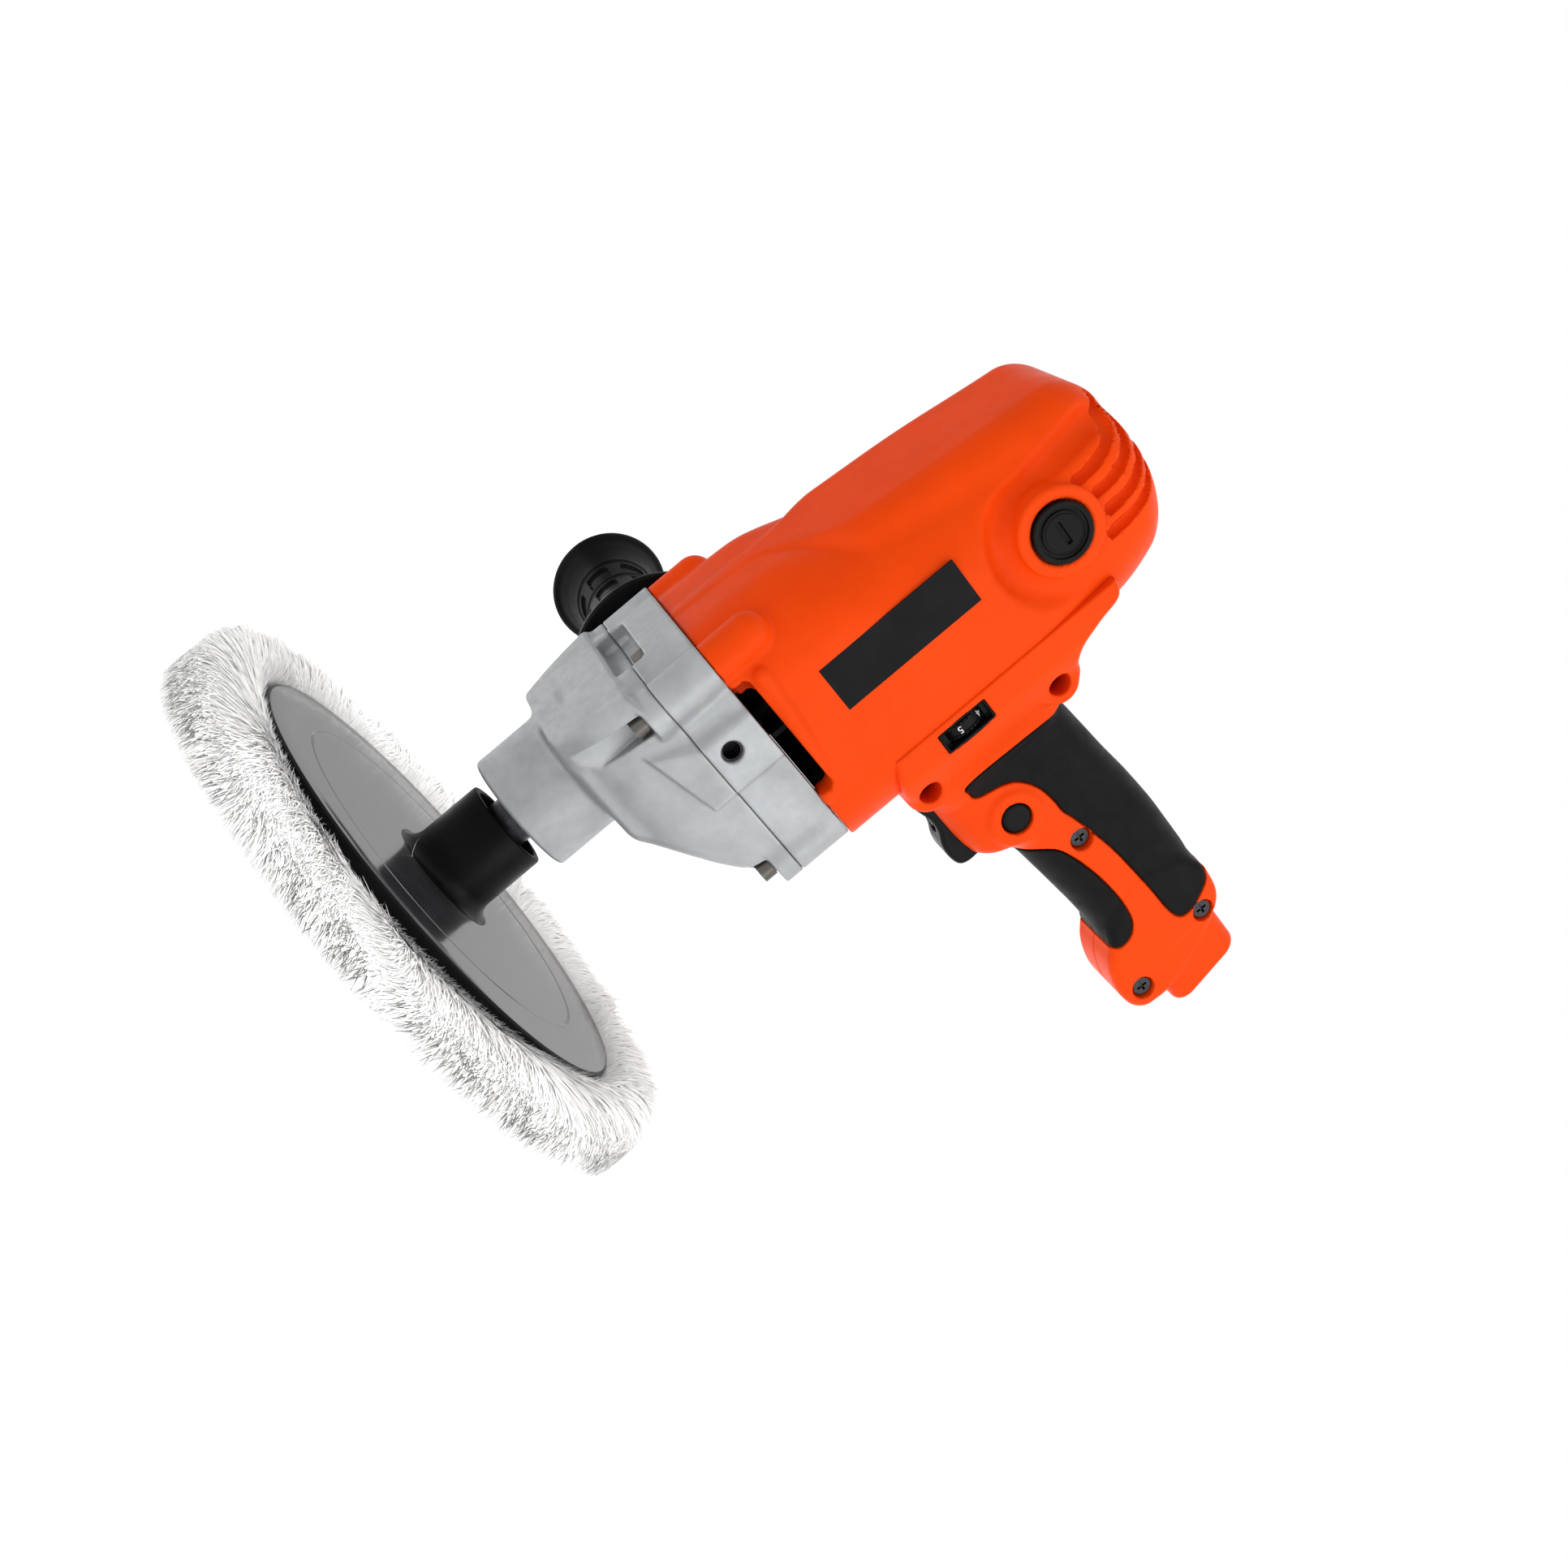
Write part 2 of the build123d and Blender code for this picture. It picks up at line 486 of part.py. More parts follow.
def make_housing():
    """Motor housing with fan chamber, stator bore, brush chamber and its vents."""
    housing = housing_outer() - (root_envelope() - handle_seat())
    housing -= upright(FAN_CHAMBER_RADIUS, FLANGE_Z - 1, 166.5, MOTOR_X, 0)
    housing -= upright(STATOR_RADIUS, 166.0, 240.0, MOTOR_X, 0)
    chamber = extrude(section(-3.0, 66.0, 38.0, 22.0, 236.0), 60.0)
    boss = upright(16.0, 282.0, 300.0, MOTOR_X, 0)
    boss += block((MOTOR_X - 2, MOTOR_X + 2), (-36, 36), (290, 300))
    housing -= chamber - boss
    housing -= upright(12.6, 281.0, 291.5, MOTOR_X, 0)
    for side in (-1, 1):
        housing -= block((-2.0, 48.0), side_span(side, 30, 50), (146.0, 151.0))
        housing -= crosswise(9.0, side * 30, side * 50, MOTOR_X, BRUSH_Z)
        housing -= crosswise(BRUSH_CAP_RADIUS + 0.3, side * 46.0, side * 50, MOTOR_X, BRUSH_Z)
        for k in range(4):
            height = 284.0 + 5.5 * k
            housing -= block((2.0, 20.0), side_span(side, 30, 50), (height - 1.6, height + 1.6))
    wheel_start = DIAL_X - DIAL_WIDTH / 2 - DIAL_PLAY
    housing -= lengthwise(DIAL_RADIUS + DIAL_PLAY, wheel_start, SEAT_X + 1, DIAL_Y, DIAL_Z)
    housing -= block((11.0, 30.0), (-48.0, LABEL_Y), (171.5, 230.5))
    parts["motor_housing"] = housing
    parts["label_plate"] = block((11.2, 29.8), (LABEL_Y - 0.6, LABEL_Y), (171.7, 230.3))


def make_brushes():
    """Holder, carbon brush, spring and screwed cap on each side of the commutator."""
    for name, side in (("left", -1), ("right", 1)):
        holder = crosswise(9.0, side * 19.0, side * 45.5, MOTOR_X, BRUSH_Z)
        half_x = 3.2
        half_z = 5.2
        play = 0.2
        across = (MOTOR_X - half_x - play, MOTOR_X + half_x + play)
        along = (BRUSH_Z - half_z - play, BRUSH_Z + half_z + play)
        parts["brush_holder_" + name] = holder - block(across, side_span(side, 18, 46), along)
        carbon_x = (MOTOR_X - half_x, MOTOR_X + half_x)
        carbon_z = (BRUSH_Z - half_z, BRUSH_Z + half_z)
        carbon = block(carbon_x, side_span(side, 13.4, 31.0), carbon_z)
        parts["carbon_brush_" + name] = carbon - crosswise(2.9, side * 28.0, side * 32.0, MOTOR_X, BRUSH_Z)
        coil = Helix(pitch=2.6, height=14.0, radius=2.2)
        wire_start = Plane(origin=coil @ 0, z_dir=coil % 0)
        spring = sweep(wire_start * Circle(0.4), path=coil, is_frenet=True)
        lay_down = Rot(90, 0, 0) if side < 0 else Rot(-90, 0, 0)
        parts["brush_spring_" + name] = Pos(MOTOR_X, side * 29.5, BRUSH_Z) * lay_down * spring
        cap = crosswise(BRUSH_CAP_RADIUS, side * 46.2, side * 49.4, MOTOR_X, BRUSH_Z)
        slot_x = (MOTOR_X - 1.0, MOTOR_X + 1.0)
        slot = block(slot_x, side_span(side, 48.0, 50.0), (BRUSH_Z - 6, BRUSH_Z + 6))
        parts["brush_cap_" + name] = cap - slot


# ---------------------------------------------------------------- handle

def root_envelope():
    """Outer shape of the handle root, which wraps the barrel's lower corner."""
    across = [
        (57.5, -46.6), (68.0, -45.5), (80.0, -38.0), (92.0, -27.0), (100.0, -21.0),
        (100.0, 21.0), (92.0, 27.0), (80.0, 38.0), (68.0, 45.5), (57.5, 46.6),
    ]
    outline = Polyline(*[(x, y, 150.0) for x, y in across], close=True)
    column = extrude(make_face(outline), 150.0)
    along = side_plate(
        [
            (57.5, 171.0), (76.0, 166.5), (94.0, 168.0), (94.0, 236.0), (89.0, 244.0),
            (82.0, 247.5), (74.0, 250.5), (66.0, 264.0), (62.0, 271.0), (57.5, 270.0),
        ],
        60.0,
    )
    return column & along


def handle_outer(inset):
    """Grip and end block, both shrunk by the same inset."""
    stations = [
        (86.0, 171.5, 238.0, 22.0), (129.0, 175.5, 239.5, 18.5), (140.0, 189.5, 241.5, 18.0),
        (167.0, 192.5, 243.5, 17.5), (196.0, 195.5, 242.0, 17.5), (220.0, 194.0, 241.0, 17.0),
    ]
    faces = []
    for x, low, high, half_y in stations:
        depth = high - low - 2 * inset
        width = 2 * (half_y - inset)
        across = Plane(origin=(x, 0, (low + high) / 2), x_dir=(0, 0, 1), z_dir=(1, 0, 0))
        faces.append(across * RectangleRounded(depth, width, 13.0 - inset))
    grip = loft(faces, ruled=True)
    end = side_plate(
        [
            (196.0 + inset, 198.0 + inset), (208.0, 190.0 + inset), (217.0, 185.0 + inset),
            (231.5 - inset, 187.5 + inset), (233.5 - inset, 199.5 + inset), (241.0 - inset, 205.0 + inset),
            (244.0 - inset, 214.0), (239.5 - inset, 233.0 - inset), (229.0, 238.5 - inset),
            (212.0, 242.0 - inset), (196.0 + inset, 241.5 - inset),
        ],
        16.5 - inset,
    )
    return grip, end


def grip_zone_rear():
    """Side outline of the black rear zone."""
    return side_plate(
        [
            (96.5, 188.5), (104.8, 188.5), (107.7, 199.5), (111.0, 205.0), (119.0, 209.8), (128.0, 211.2),
            (141.0, 213.5), (162.0, 218.0), (185.0, 220.2), (203.0, 221.5), (208.0, 226.0), (202.0, 237.5),
            (196.0, 240.0), (165.0, 242.0), (130.0, 238.0), (96.5, 234.0),
        ],
        30.0,
    )


def grip_zone_front():
    """Side outline of the black front zone."""
    return side_plate(
        [
            (138.0, 182.0), (138.5, 189.0), (146.0, 200.5), (161.0, 206.0), (183.0, 208.4),
            (193.5, 207.3), (200.0, 202.0), (200.0, 197.0), (194.0, 188.0),
        ],
        30.0,
    )


def make_handle():
    """Two shells split on the middle plane, with soft grips let into them."""
    grip, end = handle_outer(0.0)
    grip_room, end_room = handle_outer(SHELL_WALL)
    solid = root_envelope() + grip + end
    solid -= handle_seat()
    skin_inner, _ = handle_outer(SOFT_GRIP_DEPTH)
    skin = grip - skin_inner - end
    zones = {"rear": grip_zone_rear(), "front": grip_zone_front()}
    left_half = block((40, 300), (-80, 0), (100, 330))
    right_half = block((40, 300), (0, 80), (100, 330))
    for name, zone in zones.items():
        pad = skin & zone
        pad -= block((40, 96.5), (-60, 60), (100, 330))
        solid -= pad
        parts[name + "_grip_left"] = pad & left_half
        parts[name + "_grip_right"] = pad & right_half
    root_room = block((72.5, 91.0), (-19.0, 19.0), (174.0, 233.0))
    cord_room = lengthwise(6.5, 214.0, 234.0, 0, CORD_Z)
    cord_clamp = block((214, 260), (-40, 40), (205, 239))
    room = grip_room + (end_room - cord_clamp) + root_room
    pillars = Part() + [crosswise(4.6, -40, 40, x, z) for x, z in HANDLE_SCREWS]
    shell = solid - (room - pillars) - cord_room
    shell -= lengthwise(GLAND_FLANGE_RADIUS, GLAND_X, GLAND_X + GLAND_FLANGE, 0, CORD_Z)
    shell -= lengthwise(GLAND_RADIUS, GLAND_X + GLAND_FLANGE, 260.0, 0, CORD_Z)
    shell -= block((92.6, 131.8), (-8.4, 8.4), (150.0, 186.0))
    shell -= crosswise(LOCK_RADIUS + LOCK_PLAY, -30.0, -10.0, LOCK_X, LOCK_Z)
    wheel_start = DIAL_X - DIAL_WIDTH / 2 - DIAL_PLAY
    wheel_end = DIAL_X + DIAL_WIDTH / 2 + DIAL_PLAY
    shell -= lengthwise(DIAL_RADIUS + DIAL_PLAY, wheel_start, wheel_end, DIAL_Y, DIAL_Z)
    screws = []
    for k, (x, z) in enumerate(HANDLE_SCREWS):
        head_y = -25.0 if k < 2 else -12.5
        shell -= crosswise(1.9, head_y, 12.0, x, z)
        shell -= crosswise(3.9, -60.0, head_y, x, z)
        head = crosswise(3.6, head_y - 2.6, head_y, x, z)
        cross = block((x - 2.2, x + 2.2), (head_y - 3, head_y - 1.2), (z - 0.5, z + 0.5))
        cross += block((x - 0.5, x + 0.5), (head_y - 3, head_y - 1.2), (z - 2.2, z + 2.2))
        screws.append(head + crosswise(1.9, head_y, 11.0, x, z) - cross)
    parts["handle_shell_left"] = shell & left_half
    parts["handle_shell_right"] = shell & right_half
    parts["handle_screws"] = Compound(children=screws)


def make_controls():
    """Trigger, lock button, speed dial, switch, control board and the cord entry."""
    trigger = side_plate(
        [
            (93.2, 167.5), (103.5, 169.8), (119.5, 167.7), (129.5, 168.8),
            (131.2, 173.5), (129.5, 182.0), (93.2, 182.0),
        ],
        8.0,
    )
    parts["trigger"] = trigger - block((98, 125), (-6, 6), (174, 184))
    coil = Helix(pitch=2.9, height=13.6, radius=3.0)
    wire_start = Plane(origin=coil @ 0, z_dir=coil % 0)
    spring = sweep(wire_start * Circle(0.5), path=coil, is_frenet=True)
    parts["trigger_spring"] = Pos(111.0, 0, 175.2) * spring
    button = crosswise(LOCK_RADIUS, -19.6, -16.0, LOCK_X, LOCK_Z)
    parts["lock_button"] = button + crosswise(3.0, -16.0, -13.6, LOCK_X, LOCK_Z)
    dial = lengthwise(DIAL_RADIUS, DIAL_X - DIAL_WIDTH / 2, DIAL_X + DIAL_WIDTH / 2, DIAL_Y, DIAL_Z)
    rim_y = DIAL_Y + DIAL_RADIUS
    notch = block((DIAL_X - 4, DIAL_X + 4), (rim_y - 0.5, rim_y + 1), (DIAL_Z - 0.4, DIAL_Z + 0.4))
    notch_count = 24
    notches = []
    for k in range(notch_count):
        turn = Pos(0, DIAL_Y, DIAL_Z) * Rot(360 * k / notch_count, 0, 0) * Pos(0, -DIAL_Y, -DIAL_Z)
        notches.append(turn * notch)
    pin_radius = 1.5
    pin_reach = DIAL_WIDTH / 2 + 0.6
    pin_hole = lengthwise(pin_radius + 0.05, DIAL_X - pin_reach, DIAL_X + pin_reach, DIAL_Y, DIAL_Z)
    parts["speed_dial"] = dial - notches - pin_hole
    parts["dial_pin"] = lengthwise(pin_radius, DIAL_X - pin_reach, DIAL_X + pin_reach, DIAL_Y, DIAL_Z)
    body = block((100.0, 135.0), (-10.5, 10.5), (190.0, 216.0)) - crosswise(3.2, -12, -7, LOCK_X, LOCK_Z)
    parts["switch_body"] = body
    parts["speed_board"] = block((98.0, 140.0), (-9.0, 9.0), (220.0, 221.6))
    flange_end = GLAND_X + GLAND_FLANGE
    gland = lengthwise(GLAND_FLANGE_RADIUS, GLAND_X, flange_end, 0, CORD_Z)
    gland += lengthwise(GLAND_RADIUS, flange_end, GLAND_X + GLAND_LENGTH, 0, CORD_Z)
    parts["cord_gland"] = gland - lengthwise(CORD_HOLE_RADIUS, GLAND_X - 1, 260.0, 0, CORD_Z)


# ---------------------------------------------------------------- side handle

def make_side_handle():
    """Threaded stud and a moulded grip with a guard disc and a flared end knob."""
    stud_start = CASE_HALF_Y - SIDE_HOLE_DEPTH + 1.0
    place = Pos(SIDE_HOLE_X, 0, SIDE_HOLE_Z) * Rot(-90, 0, 0)
    stud = upright(SIDE_HOLE_RADIUS, stud_start, 84.0)
    head = extrude(Pos(0, 0, 76.0) * RegularPolygon(7.0, 6), 5.0)
    parts["side_handle_stud"] = place * (stud + head)
    guard_edge = GUARD_RADIUS - 1.5
    waist = [
        (20.0, 0, 57.5), (15.5, 0, 68.0), (17.0, 0, 100.0),
        (15.5, 0, 140.0), (18.0, 0, 158.0), (KNOB_RADIUS - 1, 0, 166.0),
    ]
    knob_end = (KNOB_RADIUS - 2, 0, 173.0)
    profile = [
        Line((0, 0, GRIP_START_Y), (12.0, 0, GRIP_START_Y)),
        Line((12.0, 0, GRIP_START_Y), (guard_edge, 0, 53.0)),
        Line((guard_edge, 0, 53.0), (GUARD_RADIUS, 0, 54.6)),
        Line((GUARD_RADIUS, 0, 54.6), (guard_edge, 0, 56.2)),
        Line((guard_edge, 0, 56.2), waist[0]),
        Spline(*waist),
        ThreePointArc(waist[-1], (KNOB_RADIUS, 0, 169.0), knob_end),
        Spline(knob_end, (14.0, 0, 177.0), (0, 0, GRIP_END_Y)),
        Line((0, 0, GRIP_END_Y), (0, 0, GRIP_START_Y)),
    ]
    grip = revolve(make_face(profile), Axis.Z) - stud - head
    parts["side_handle_grip"] = place * grip


# ---------------------------------------------------------------- build

make_pad()
make_spindle()
make_lay_shaft()
make_gear_case()
make_armature()
make_stator()
make_housing()
make_brushes()
make_handle()
make_controls()
make_side_handle()

os.makedirs("parts", exist_ok=True)
for name, shape in parts.items():
    export_step(shape, os.path.join("parts", name + ".step"))
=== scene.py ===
"""Looks of the rotary polisher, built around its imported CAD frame.

Shape code works in millimetres in the frame's own axes: +Z up the spindle, +X out along the
pistol handle, +Y out along the side handle. Moulded and cast pieces are distance fields that
are meshed by surface nets; turned pieces are lathed; the wool is thousands of curved locks.
"""
import json
import math
import bpy
import numpy as np
from mathutils import Matrix, Vector


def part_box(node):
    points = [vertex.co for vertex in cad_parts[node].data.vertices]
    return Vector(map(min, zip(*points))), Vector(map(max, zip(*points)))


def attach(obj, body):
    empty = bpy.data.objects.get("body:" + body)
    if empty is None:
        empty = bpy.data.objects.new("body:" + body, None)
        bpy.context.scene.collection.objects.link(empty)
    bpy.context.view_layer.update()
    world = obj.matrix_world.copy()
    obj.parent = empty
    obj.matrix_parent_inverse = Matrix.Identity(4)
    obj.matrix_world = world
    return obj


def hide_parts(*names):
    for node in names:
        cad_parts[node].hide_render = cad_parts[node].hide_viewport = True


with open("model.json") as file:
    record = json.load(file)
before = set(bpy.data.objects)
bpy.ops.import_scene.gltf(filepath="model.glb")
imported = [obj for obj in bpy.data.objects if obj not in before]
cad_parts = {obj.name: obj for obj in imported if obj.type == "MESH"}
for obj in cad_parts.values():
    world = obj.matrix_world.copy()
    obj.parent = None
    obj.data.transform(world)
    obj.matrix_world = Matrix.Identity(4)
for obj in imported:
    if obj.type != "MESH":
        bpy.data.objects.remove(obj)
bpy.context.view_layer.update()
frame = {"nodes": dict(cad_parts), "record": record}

MM = 0.001
TOOL = "tool"
WOOL_PIECES = bpy.data.collections.new("wool_pieces")


def span(node):
    """Lowest and highest corner of a CAD node, in millimetres."""
    low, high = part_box(node)
    return np.array(low) / MM, np.array(high) / MM


def centre(node):
    low, high = span(node)
    return (low + high) / 2


def half_size(node):
    low, high = span(node)
    return (high - low) / 2


def placed(name, data):
    """An object for some data, linked to the scene."""
    obj = bpy.data.objects.new(name, data)
    bpy.context.scene.collection.objects.link(obj)
    return obj


# ---------------------------------------------------------------- places taken from the frame

PLATE_FOOT, HUB_TOP = (corner[2] for corner in span("backing_plate"))
PLATE_FACE = PLATE_FOOT + 7.0
PAD_RADIUS = span("wool_pad")[1][0]
NECK_BOTTOM = span("gear_case_front")[0][2]
(CASE_TOP_X, _, PARTING_Z), (_, _, FLANGE_Z) = span("gear_case_rear")
MOTOR_X = centre("armature_shaft")[0]
HOUSING_TOP = span("motor_housing")[1][2]
BRUSH_Z = centre("brush_cap_left")[2]
BRUSH_CAP_RADIUS = half_size("brush_cap_left")[2]
LOCK = centre("lock_button")
LOCK_RADIUS, LOCK_HALF_DEPTH, _ = half_size("lock_button")
DIAL = centre("speed_dial")
DIAL_HALF, _, DIAL_RADIUS = half_size("speed_dial")
SPRING = centre("trigger_spring")
SPRING_FOOT = span("trigger_spring")[0][2]
SPRING_RADIUS = half_size("trigger_spring")[1]
GLAND = centre("cord_gland")
SIDE_AXIS = centre("side_handle_stud")


# ---------------------------------------------------------------- camera, light and floor

TOOL_MIDDLE = Vector((0.05, 0.0, 0.15))
WOOL_LAMPS = (("wool_front_lamp", (-0.6, -1.8, 0.35), 29), ("wool_top_lamp", (-1.1, -0.3, 1.5), 24))


def make_camera():
    """The photograph's view: level with the tool, turned on its side by the roll."""
    heading = math.radians(26.303)
    pitch = math.radians(-0.804)
    roll = math.radians(50.06)
    ahead = math.cos(pitch)
    forward = Vector((math.sin(heading) * ahead, math.cos(heading) * ahead, math.sin(pitch)))
    level = Vector((math.cos(heading), -math.sin(heading), 0))
    upright = level.cross(forward)
    right = level * math.cos(roll) + upright * math.sin(roll)
    up = upright * math.cos(roll) - level * math.sin(roll)
    data = bpy.data.cameras.new("photo_camera")
    data.lens = 44.94
    data.sensor_width = 36.0
    data.clip_start = 0.01
    camera = placed("photo_camera", data)
    turn = Matrix((right, up, -forward)).transposed().to_4x4()
    camera.matrix_world = Matrix.Translation((-0.2622, -0.6490, 0.14764)) @ turn
    bpy.context.scene.camera = camera


def make_light(name, place, size, power):
    """Round area lamp aimed at the middle of the tool."""
    data = bpy.data.lights.new(name, "AREA")
    data.shape = "DISK"
    data.size = size
    data.energy = power
    light = placed(name, data)
    light.location = place
    light.rotation_euler = (TOOL_MIDDLE - Vector(place)).to_track_quat("-Z", "Y").to_euler()
    return light


def set_inputs(node, **values):
    """Sets a node's sockets by name, with an underscore for each space."""
    for socket, value in values.items():
        node.inputs[socket.replace("_", " ")].default_value = value
    return node


def make_studio():
    """White world that is brighter above, a soft lamp, two for the wool alone, and a pale floor."""
    world = bpy.data.worlds.new("studio_world")
    world.use_nodes = True
    nodes = world.node_tree.nodes
    link = world.node_tree.links.new
    background = set_inputs(nodes["Background"], Color=(1, 1, 1, 1))
    seen = nodes.new("ShaderNodeLightPath").outputs["Is Camera Ray"]
    upward = nodes.new("ShaderNodeVectorMath")
    upward.operation = "DOT_PRODUCT"
    upward.inputs[1].default_value = (0.42, 0.0, 0.91)
    link(nodes.new("ShaderNodeTexCoord").outputs["Generated"], upward.inputs[0])
    ambient = nodes.new("ShaderNodeMapRange")
    ambient.interpolation_type = "SMOOTHSTEP"
    set_inputs(ambient, From_Min=-0.1, To_Min=0.36, To_Max=1.3)
    link(upward.outputs["Value"], ambient.inputs["Value"])
    level = set_inputs(nodes.new("ShaderNodeMix"), B=1.0)
    link(seen, level.inputs["Factor"])
    link(ambient.outputs["Result"], level.inputs["A"])
    link(level.outputs["Result"], background.inputs["Strength"])
    scene = bpy.context.scene
    scene.world = world
    scene.view_settings.view_transform = "Standard"
    scene.view_settings.look = "None"
    make_light("key_lamp", (0.85, -1.6, 0.7), 1.5, 9.5)
    for name, place, power in WOOL_LAMPS:
        make_light(name, place, 1.6, power).light_linking.receiver_collection = WOOL_PIECES
    bpy.ops.mesh.primitive_plane_add(size=60, location=(0, 0, 0))
    floor = bpy.context.object
    floor.name = "studio_floor"
    material = bpy.data.materials.new("studio_floor")
    material.use_nodes = True
    set_inputs(material.node_tree.nodes["Principled BSDF"], Base_Color=(0.6, 0.6, 0.6, 1), Roughness=0.9,
               Specular_IOR_Level=0.0, Emission_Color=(1, 1, 1, 1), Emission_Strength=0.72)
    floor.data.materials.append(material)


# ---------------------------------------------------------------- material kit

class Maker:
    """A node material, built call by call. Sizes of patterns are in millimetres."""

    def __init__(self, name, color, roughness, metallic, **sockets):
        self.material = bpy.data.materials.new(name)
        self.material.use_nodes = True
        self.tree = self.material.node_tree
        self.shader = self.tree.nodes["Principled BSDF"]
        set_inputs(self.shader, Base_Color=(*color, 1), Roughness=roughness, Metallic=metallic, **sockets)
        self.place = self.tree.nodes.new("ShaderNodeTexCoord").outputs["Object"]
        self.normal = None

    def add(self, kind, socket, source, **values):
        """A node with one linked socket and the rest set."""
        node = set_inputs(self.tree.nodes.new(kind), **values)
        self.tree.links.new(source, node.inputs[socket])
        return node

    def pattern(self, size, detail=None, rough=0.55, stretch=None):
        """Noise, or rounded cells where no detail is given."""
        scale = 1.0 / (size * MM)
        if detail is None:
            return self.add("ShaderNodeTexVoronoi", "Vector", self.place, Scale=scale).outputs["Distance"]
        place = self.place
        if stretch:
            place = self.add("ShaderNodeMapping", "Vector", place, Scale=stretch).outputs["Vector"]
        node = self.add("ShaderNodeTexNoise", "Vector", place, Scale=scale, Detail=detail, Roughness=rough)
        return node.outputs["Fac"]

    def ramp(self, pattern, low, high, start=0.35, end=0.65):
        node = self.add("ShaderNodeMapRange", "Value", self.pattern(*pattern), From_Min=start, From_Max=end,
                        To_Min=low, To_Max=high)
        return node.outputs["Result"]

    def tint(self, pattern, low, high, *limits):
        """Base colour runs between two colours with a pattern."""
        mix = self.tree.nodes.new("ShaderNodeMix")
        mix.data_type = "RGBA"
        set_inputs(mix, A=(*low, 1), B=(*high, 1))
        self.tree.links.new(self.ramp(pattern, 0, 1, *limits), mix.inputs["Factor"])
        self.tree.links.new(mix.outputs["Result"], self.shader.inputs["Base Color"])

    def gloss(self, pattern, low, high):
        """Roughness runs between two values with a pattern."""
        self.tree.links.new(self.ramp(pattern, low, high), self.shader.inputs["Roughness"])

    def bump(self, pattern, depth, strength=1.0):
        """Relief of the given depth in millimetres."""
        height = self.pattern(*pattern)
        node = self.add("ShaderNodeBump", "Height", height, Distance=depth * MM, Strength=strength)
        if self.normal is not None:
            self.tree.links.new(self.normal, node.inputs["Normal"])
        self.normal = node.outputs["Normal"]
        self.tree.links.new(self.normal, self.shader.inputs["Normal"])


def material(name, color, roughness, tint, gloss=None, bumps=(), metallic=0.0, **sockets):
    """A look. The tint runs between two shares of the colour; each row starts with its pattern."""
    made = Maker(name, color, roughness, metallic, **sockets)
    pattern, dark, light, *limits = tint
    made.tint(pattern, *(tuple(c * share for c in color) for share in (dark, light)), *limits)
    if gloss:
        made.gloss(*gloss)
    for row in bumps:
        made.bump(*row)
    return made.material


def machined_steel(name, color, roughness):
    gloss = ((2.5, 3), roughness - 0.05, roughness + 0.08)
    lines = ((0.5, 1, 0.55, (0.1, 0.1, 3)), 0.003)
    return material(name, color, roughness, ((5, 2), 0.94, 1.05), gloss, [lines], metallic=1.0)


def black_moulding(name, level, roughness, grain, depth):
    color = (level, level, level * 1.06)
    gloss = ((6, 4), roughness - 0.05, roughness + 0.07)
    skin = ((grain, 2), depth)
    return material(name, color, roughness, ((20, 4), 0.8, 1.25), gloss, [skin], Specular_IOR_Level=0.09)


def wool_material(name, color, root):
    made = Maker(name, color, 0.75, 0.0, Specular_IOR_Level=0.25, Sheen_Weight=0.35, Sheen_Roughness=0.4)
    made.tint((9, 4, 0.6), root, color, 0.3, 0.6)
    made.gloss((2.5, 3), 0.65, 0.85)
    return made.material


